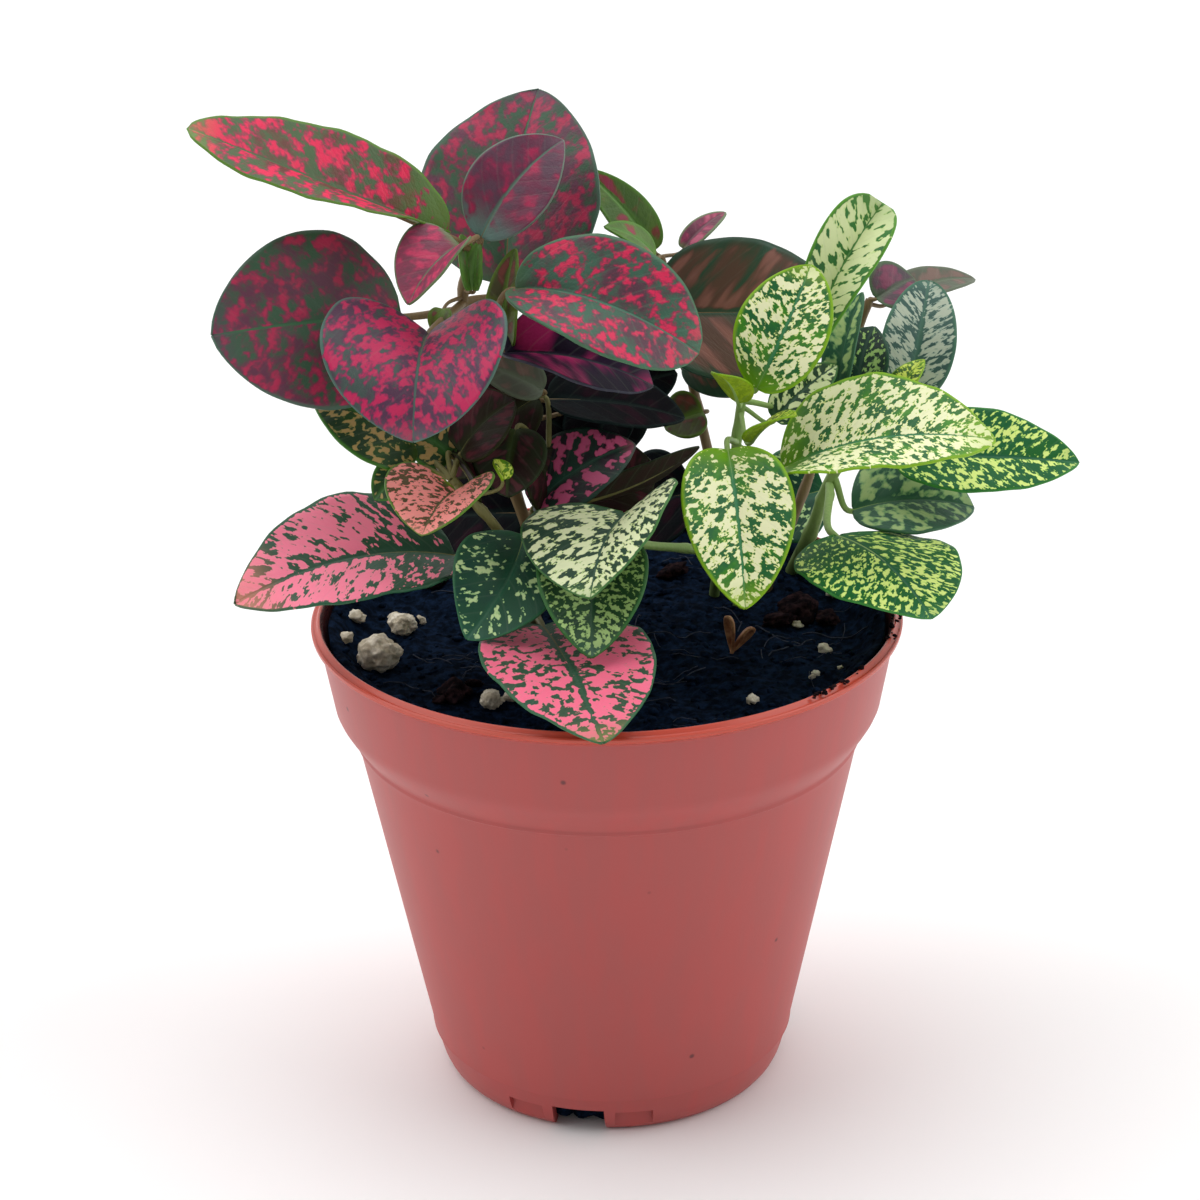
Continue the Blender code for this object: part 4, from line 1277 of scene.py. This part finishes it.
@dataclass
class PottingMix:
    """The dark mix: an uneven bed with crumbs, fine roots and bark lying on it.

    Lengths are mm, slots, bearings and turns degrees, and a root's bend and wander radians a
    step. The mix is banked against the wall between the two radii of bank_from. crumble is
    the scale and height of each part of its roughness. A chip is its x, y and half length.
    """

    material: bpy.types.Material
    root_material: bpy.types.Material
    bark_material: bpy.types.Material
    slots: list
    radius: float = 47.1
    bank: float = 4.2
    bank_from: tuple = (41.5, 46.8)
    crumble: tuple = ((0.35, 0.55), (0.9, 0.35), (2.1, 0.18))
    rings: int = 110
    steps: int = 200
    crumbs: int = 900
    crumb_reach: float = 46.0
    crumb_size: tuple = (0.25, 0.95)
    roots: int = 46
    root_reach: float = 38.0
    root_points: int = 14
    root_step: float = 0.9
    root_limit: float = 44.0
    root_radius: tuple = (0.05, 0.13)
    root_bend: float = 0.16
    root_wander: float = 0.12
    # Clods behind the drain slots, which also stand in for the shade under the pot.
    slot_reach: float = 25.2
    slot_height: float = 2.6
    clod: tuple = (2.6, 2.4, 2.3)
    clod_turns: tuple = (-7.5, 0.0, 7.5)
    lip_height: float = 85.0
    lip_crumbs: int = 34
    lip_reach: tuple = (48.2, 49.6)
    lip_crumb_size: tuple = (0.15, 0.44)
    lip_bearings: tuple = (-8, -12, -16, -34, -39, -44, -47)
    side: tuple = (
        (46.6, 77.0), (45.4, 71.0), (43.4, 66.8), (41.7, 63.6), (30.5, 7.6), (28.0, 4.0), (0.0, 4.0),
    )
    chips: tuple = (
        (-25.0, -22.5, 3.2), (33.0, 11.0, 4.2), (29.5, 7.5, 3.0), (38.0, 8.0, 2.6), (-22.0, -19.5, 1.6),
        (12.0, 30.0, 3.0), (-30.0, 24.0, 2.6), (-27.5, -25.0, 1.3),
    )

    def top(self, x: float, y: float) -> float:
        """Find the height of the crumbly bed at one place.

        Args:
            x: The place, in metres.
            y: The place, in metres.

        Returns:
            Its height, in metres.
        """
        spot = Vector((x, y, 0.0)) * 1000.0
        rough = sum(noise.noise(spot * scale) * share for scale, share in self.crumble)
        bank = self.bank * smooth_step(*self.bank_from, math.hypot(x, y) / MM)
        return mix_height(x, y) + (rough + bank) * MM

    def over(self, x: float, y: float, rise: float) -> Vector:
        """Find the place in metres that lies rise over the bed at x and y, all in mm."""
        return Vector((x * MM, y * MM, self.top(x * MM, y * MM) + rise * MM))

    def bed(self) -> bpy.types.Object:
        """Build the fill: a turned body whose top is broken into crumbs.

        Returns:
            The bed, which stands for the CAD mix.
        """
        rings = [(self.radius * i / self.rings, MIX_LEVEL) for i in range(self.rings + 1)]
        graph = turned(rings + list(self.side), self.steps)
        for vert in graph.verts:
            if vert.co.z > (MIX_LEVEL - 0.1) * MM:
                vert.co.z = self.top(vert.co.x, vert.co.y)
        return add_object("mix_bed", mesh_from(graph, "mix_bed", self.material), "potting_mix", "potting_mix")

    def spots(self, rng: random.Random, count: int, reach: float) -> list[Vector]:
        """Scatter places over the bed.

        Args:
            rng: The seeded source.
            count: How many.
            reach: The furthest from the axis, in mm.

        Returns:
            Places on the bed, in metres.
        """
        places = []
        for _ in range(count):
            angle, distance = rng.uniform(0, math.tau), reach * MM * math.sqrt(rng.random())
            x, y = distance * math.cos(angle), distance * math.sin(angle)
            places.append(Vector((x, y, self.top(x, y))))
        return places

    def loose(self) -> bpy.types.Object:
        """Scatter peat crumbs over the bed.

        Returns:
            The crumbs.
        """
        rng = random.Random(11)
        graph = bmesh.new()
        for place in self.spots(rng, self.crumbs, self.crumb_reach):
            size = rng.uniform(*self.crumb_size) ** 1.5 * MM
            half = (size * rng.uniform(0.8, 1.7), size, size * rng.uniform(0.5, 0.9))
            add_lump(graph, place, half, 1, rng, 0.35)
        return add_object("peat_crumbs", mesh_from(graph, "peat_crumbs", self.material), "potting_mix")

    def fibres(self) -> bpy.types.Object:
        """Lay fine roots and peat fibres over the bed, each bowed and half sunk.

        Returns:
            The fibres.
        """
        rng = random.Random(5)
        curve = round_curve("fine_roots", self.root_material, 1)
        for place in self.spots(rng, self.roots, self.root_reach):
            heading, bend = rng.uniform(0, math.tau), rng.uniform(-self.root_bend, self.root_bend)
            thick = rng.uniform(*self.root_radius)
            spline = curve.splines.new("POLY")
            spline.points.add(self.root_points - 1)
            x, y = place.x, place.y
            for index, point in enumerate(spline.points):
                point.co = (x, y, self.top(x, y) + (0.25 + 0.35 * math.sin(index * 0.7)) * MM, 1.0)
                point.radius = thick
                step = self.root_step * MM
                if math.hypot(x, y) < self.root_limit * MM:
                    x, y = x + step * math.cos(heading), y + step * math.sin(heading)
                heading += bend + rng.uniform(-self.root_wander, self.root_wander)
        return add_object("fine_roots", curve, "potting_mix")

    def bark(self) -> bpy.types.Object:
        """Lay bark fines: one chip near the front and a few by the right-hand stems.

        Returns:
            The bark, which stands for the CAD chip.
        """
        rng = random.Random(7)
        graph = bmesh.new()
        for x, y, size in self.chips:
            half = (size * MM, size * 0.75 * MM, size * 0.42 * MM)
            add_lump(graph, self.over(x, y, size * 0.25), half, 4, rng, 0.3)
        mesh = mesh_from(graph, "bark_fines", self.bark_material)
        return add_object("bark_fines", mesh, "bark", "bark_chip")

    def slot_mix_and_shade(self) -> bpy.types.Object:
        """Put dark clods of mix behind each drain slot, where they also stand in for the shade under
        the pot: painted shade.

        Returns:
            The clods.
        """
        rng = random.Random(19)
        graph = bmesh.new()
        for middle in self.slots:
            for turn in self.clod_turns:
                angle, reach = math.radians(middle + turn), self.slot_reach
                place = Vector((reach * math.cos(angle), reach * math.sin(angle), self.slot_height)) * MM
                add_lump(graph, place, tuple(half * MM for half in self.clod), 3, rng, 0.12)
        return add_object("slot_mix_and_shade", mesh_from(graph, "slot_mix_and_shade", self.material), "potting_mix")

    def rim_crumbs(self) -> bpy.types.Object:
        """Leave a few crumbs of bark on the lip, at the right.

        Returns:
            The crumbs.
        """
        rng = random.Random(3)
        graph = bmesh.new()
        for _ in range(self.lip_crumbs):
            angle = math.radians(rng.choice(self.lip_bearings) + rng.uniform(-2.5, 2.5))
            radius = rng.uniform(*self.lip_reach) * MM
            size = rng.uniform(*self.lip_crumb_size) * MM
            place = (radius * math.cos(angle), radius * math.sin(angle), self.lip_height * MM + size * 0.3)
            add_lump(graph, Vector(place), (size * 1.4, size, size * 0.7), 1, rng, 0.35)
        return add_object("rim_crumbs", mesh_from(graph, "rim_crumbs", self.bark_material), "potting_mix")

    def build(self) -> None:
        """Build the bed and everything that belongs to the mix."""
        for make in (self.bed, self.loose, self.fibres, self.bark, self.slot_mix_and_shade, self.rim_crumbs):
            LOG.info("mix %s", make().name)


@dataclass
class Perlite:
    """Expanded perlite: off-white popped grains with a pitted, foamy surface.

    A grain is its x, y and half size in mm. The large ones start with their CAD node's name.
    """

    material: bpy.types.Material
    mix: PottingMix
    grains: tuple = (
        ("perlite_large", -38.0, -9.0, 3.7), ("perlite_left", -35.0, 4.5, 2.4),
        ("perlite_front", -19.0, -27.0, 1.9),
    )
    small: tuple = (
        (-43.1, 6.2, 1.5), (-44.0, -3.6, 1.3), (-32.3, 10.6, 1.0), (-36.6, 9.4, 1.1), (-15.7, -24.4, 1.1),
        (-17.6, -25.9, 0.8), (36.5, -6.3, 1.1), (23.4, -26.3, 1.0), (34.4, -16.5, 0.6), (33.6, -17.9, 0.5),
        (32.9, 7.2, 0.9), (38.6, -13.7, 0.5), (-8.0, 33.0, 1.6), (18.0, 36.0, 1.2), (-34.0, 25.0, 1.8),
        (40.0, 16.0, 1.4), (-21.5, 28.0, 1.0), (5.0, 40.5, 0.9), (29.0, 31.0, 1.1),
    )

    def build(self) -> None:
        """Build the three large grains and the small ones."""
        rng = random.Random(23)
        for node, x, y, size in self.grains:
            graph = bmesh.new()
            half = (size * MM, size * 0.92 * MM, size * 0.8 * MM)
            add_lump(graph, self.mix.over(x, y, size * 0.6), half, 5, rng, 0.17)
            add_object(node + "_grain", mesh_from(graph, node + "_grain", self.material), "perlite", node)
            LOG.info("perlite %s", node)
        graph = bmesh.new()
        for x, y, size in self.small:
            half = (size * 1.15 * MM, size * MM, size * 0.75 * MM)
            add_lump(graph, self.mix.over(x, y, size * 0.4), half, 3, rng, 0.3)
        add_object("perlite_small", mesh_from(graph, "perlite_small", self.material), "perlite")


@dataclass
class SeedHusk:
    """A dry seed capsule, split from the top into two boat-shaped valves.

    Lengths are mm. A valve has its side, its lean and spin in degrees, its share of the
    length and the CAD nodes that it stands for.
    """

    material: bpy.types.Material
    foot: tuple = (20.8, -7.6, 79.6)
    length: float = 6.8
    width: float = 2.9
    depth: float = 1.3
    wall: float = 0.5
    valves: tuple = (("left", -6.0, -50.0, 1.0, "seed_husk"), ("right", 40.0, 40.0, 0.86))

    def valve(self, lean: float, spin: float, share: float) -> bmesh.types.BMesh:
        """Bend a grid into one valve.

        Args:
            lean: How far it leans from upright, in degrees.
            spin: How far it is turned about its own length, in degrees.
            share: Its length, as a share of the capsule's.

        Returns:
            The valve's mesh.
        """
        graph = bmesh.new()
        bmesh.ops.create_grid(graph, x_segments=24, y_segments=14, size=0.5)
        turn = Matrix.Rotation(math.radians(lean), 3, "Y") @ Matrix.Rotation(math.radians(spin), 3, "Z")
        for vert in graph.verts:
            t, v = vert.co.x + 0.5, vert.co.y * 2.0
            full = (t + 0.02) ** 0.7 * max(1.0 - t ** 5, 0.0) ** 0.5
            hollow = self.depth * (1.0 - v * v) * full
            spot = Vector((self.width / 2.0 * full * v, hollow, t * self.length * share))
            vert.co = Vector(self.foot) * MM + turn @ spot * MM
        return graph

    def build(self) -> None:
        """Build both valves."""
        for side, lean, spin, share, *nodes in self.valves:
            name = f"husk_valve_{side}"
            mesh = mesh_from(self.valve(lean, spin, share), name, self.material)
            thicken(add_object(name, mesh, "dry_husk", *nodes), self.wall * MM)
            LOG.info("husk %s", name)


# --- Studio ------------------------------------------------------------------------------------
@dataclass
class Studio:
    """Plain pale floor, soft lights and the camera.

    Lengths are mm and angles degrees, but for the floor, which reaches floor_reach metres.
    A light has its name, the direction it comes from, its spread and its power.
    """

    target: tuple = (-1.1, 0.0, 86.5)
    distance: float = 525.0
    elevation: float = 23.2
    roll: float = -0.82
    lens: float = 93.1
    floor_colour: str = "fafafa"
    floor_reach: float = 6.0
    front_glow: float = 0.25
    back_glow: float = 0.8
    lights: tuple = (
        ("left_light", (-0.9, -0.1, 0.65), 50.0, 0.75),
        ("right_light", (0.9, -0.1, 0.6), 50.0, 0.9),
        ("top_light", (-0.1, 0.25, 1.0), 60.0, 1.2),
    )

    def floor(self) -> None:
        """Lay a pale floor with a barely visible tooth."""
        material, tree = new_material("matt_pale_paper")
        place = add_node(tree, PLACE).outputs["Object"]
        tooth = add_node(tree, NOISE, {"Vector": place, "Scale": 900.0, "Detail": 2.0})
        bump = add_node(tree, BUMP, {"Strength": 0.05, "Distance": 0.0001, "Height": tooth})
        paper = add_node(tree, SURFACE, {"Base Color": linear(self.floor_colour), "Roughness": 0.9,
                                         "Normal": bump})
        add_node(tree, OUTPUT, {0: paper})
        graph = bmesh.new()
        bmesh.ops.create_grid(graph, x_segments=2, y_segments=2, size=self.floor_reach)
        link_object("floor", mesh_from(graph, "floor", material))

    def camera(self) -> None:
        """Place the camera and its slight roll."""
        rise = math.radians(self.elevation)
        back = Vector((0.0, -math.cos(rise), math.sin(rise)))
        data = bpy.data.cameras.new("camera")
        data.lens = self.lens
        data.sensor_width = 36.0
        data.clip_start = 0.01
        thing = link_object("camera", data)
        place = (Vector(self.target) + back * self.distance) * MM
        turn = back.to_track_quat("Z", "Y").to_matrix() @ Matrix.Rotation(math.radians(self.roll), 3, "Z")
        thing.matrix_world = Matrix.Translation(place) @ turn.to_4x4()
        bpy.context.scene.camera = thing

    def light(self, name: str, place: tuple, spread: float, power: float) -> None:
        """Aim one wide soft light at the plant.

        Args:
            name: The light's name.
            place: The direction that it comes from.
            spread: The width of its source as seen from the plant, in degrees.
            power: Its strength in watts a square metre.
        """
        data = bpy.data.lights.new(name, "SUN")
        data.angle = math.radians(spread)
        data.energy = power
        thing = link_object(name, data)
        thing.matrix_world = Vector(place).to_track_quat("Z", "Y").to_matrix().to_4x4()

    def air(self) -> None:
        """Surround the plant with white walls that are brighter behind and beside it."""
        world = bpy.data.worlds.new("studio_air")
        world.use_nodes = True
        tree = world.node_tree
        tree.nodes.clear()
        way = add_node(tree, SPLIT, {0: add_node(tree, PLACE).outputs["Generated"]}).outputs[1]
        glow = add_node(tree, RANGE, {0: way, 1: -0.7, 2: 0.5, 3: self.front_glow, 4: self.back_glow})
        wall = add_node(tree, "ShaderNodeBackground", {0: (1.0, 1.0, 1.0, 1.0), 1: glow})
        add_node(tree, "ShaderNodeOutputWorld", {0: wall})
        bpy.context.scene.world = world

    def build(self) -> None:
        """Set the stage, the lights and the colour handling."""
        bpy.context.scene.view_settings.view_transform = "Standard"
        self.air()
        self.floor()
        self.camera()
        for light in self.lights:
            self.light(*light)


def main() -> None:
    """Build the studio, the pot, the mix with its loose bits, and the three plants."""
    logging.basicConfig(level=logging.INFO, format="%(name)s: %(message)s")
    Studio().build()
    pot = NurseryPot(PolypropyleneFinish().build())
    pot.build()
    peat = CrumbFinish("moist_black_peat", "050c17", "132238", 1.6, shine=1.08).build()
    root = CrumbFinish("fine_root", "1a202e", "3a4050", 2.0, 0.7).build()
    bark = CrumbFinish("composted_bark", "0c080c", "302022", 1.4, shine=1.1).build()
    mix = PottingMix(peat, root, bark, pot.slots)
    mix.build()
    Perlite(CrumbFinish("expanded_perlite", "bcb19a", "ebe3d2", 1.6).build(), mix).build()
    SeedHusk(CrumbFinish("dry_capsule", "8a5436", "cc9a72", 3.0, 0.35).build()).build()
    dresses: dict = {}
    plants = (
        ("red", RED_STEMS, RED_LEAVES + RED_SMALL, ("herb_stem_mauve", "6f5a3c", "8a7450", "3c3a2c")),
        ("pink", PINK_STEMS, PINK_LEAVES + PINK_SMALL, ("herb_stem_olive", "6a6a38", "8a8450", "3c3a2c")),
        ("white", WHITE_STEMS, WHITE_LEAVES + WHITE_SMALL, ("herb_stem_green", "7fa84f", "a4bc78", "4c5a34")),
    )
    for kind, stems, leaves, skin in plants:
        Plant(kind, stems, leaves, StemFinish(*skin).build(), dresses).build()


if __name__ == "__main__":
    main()
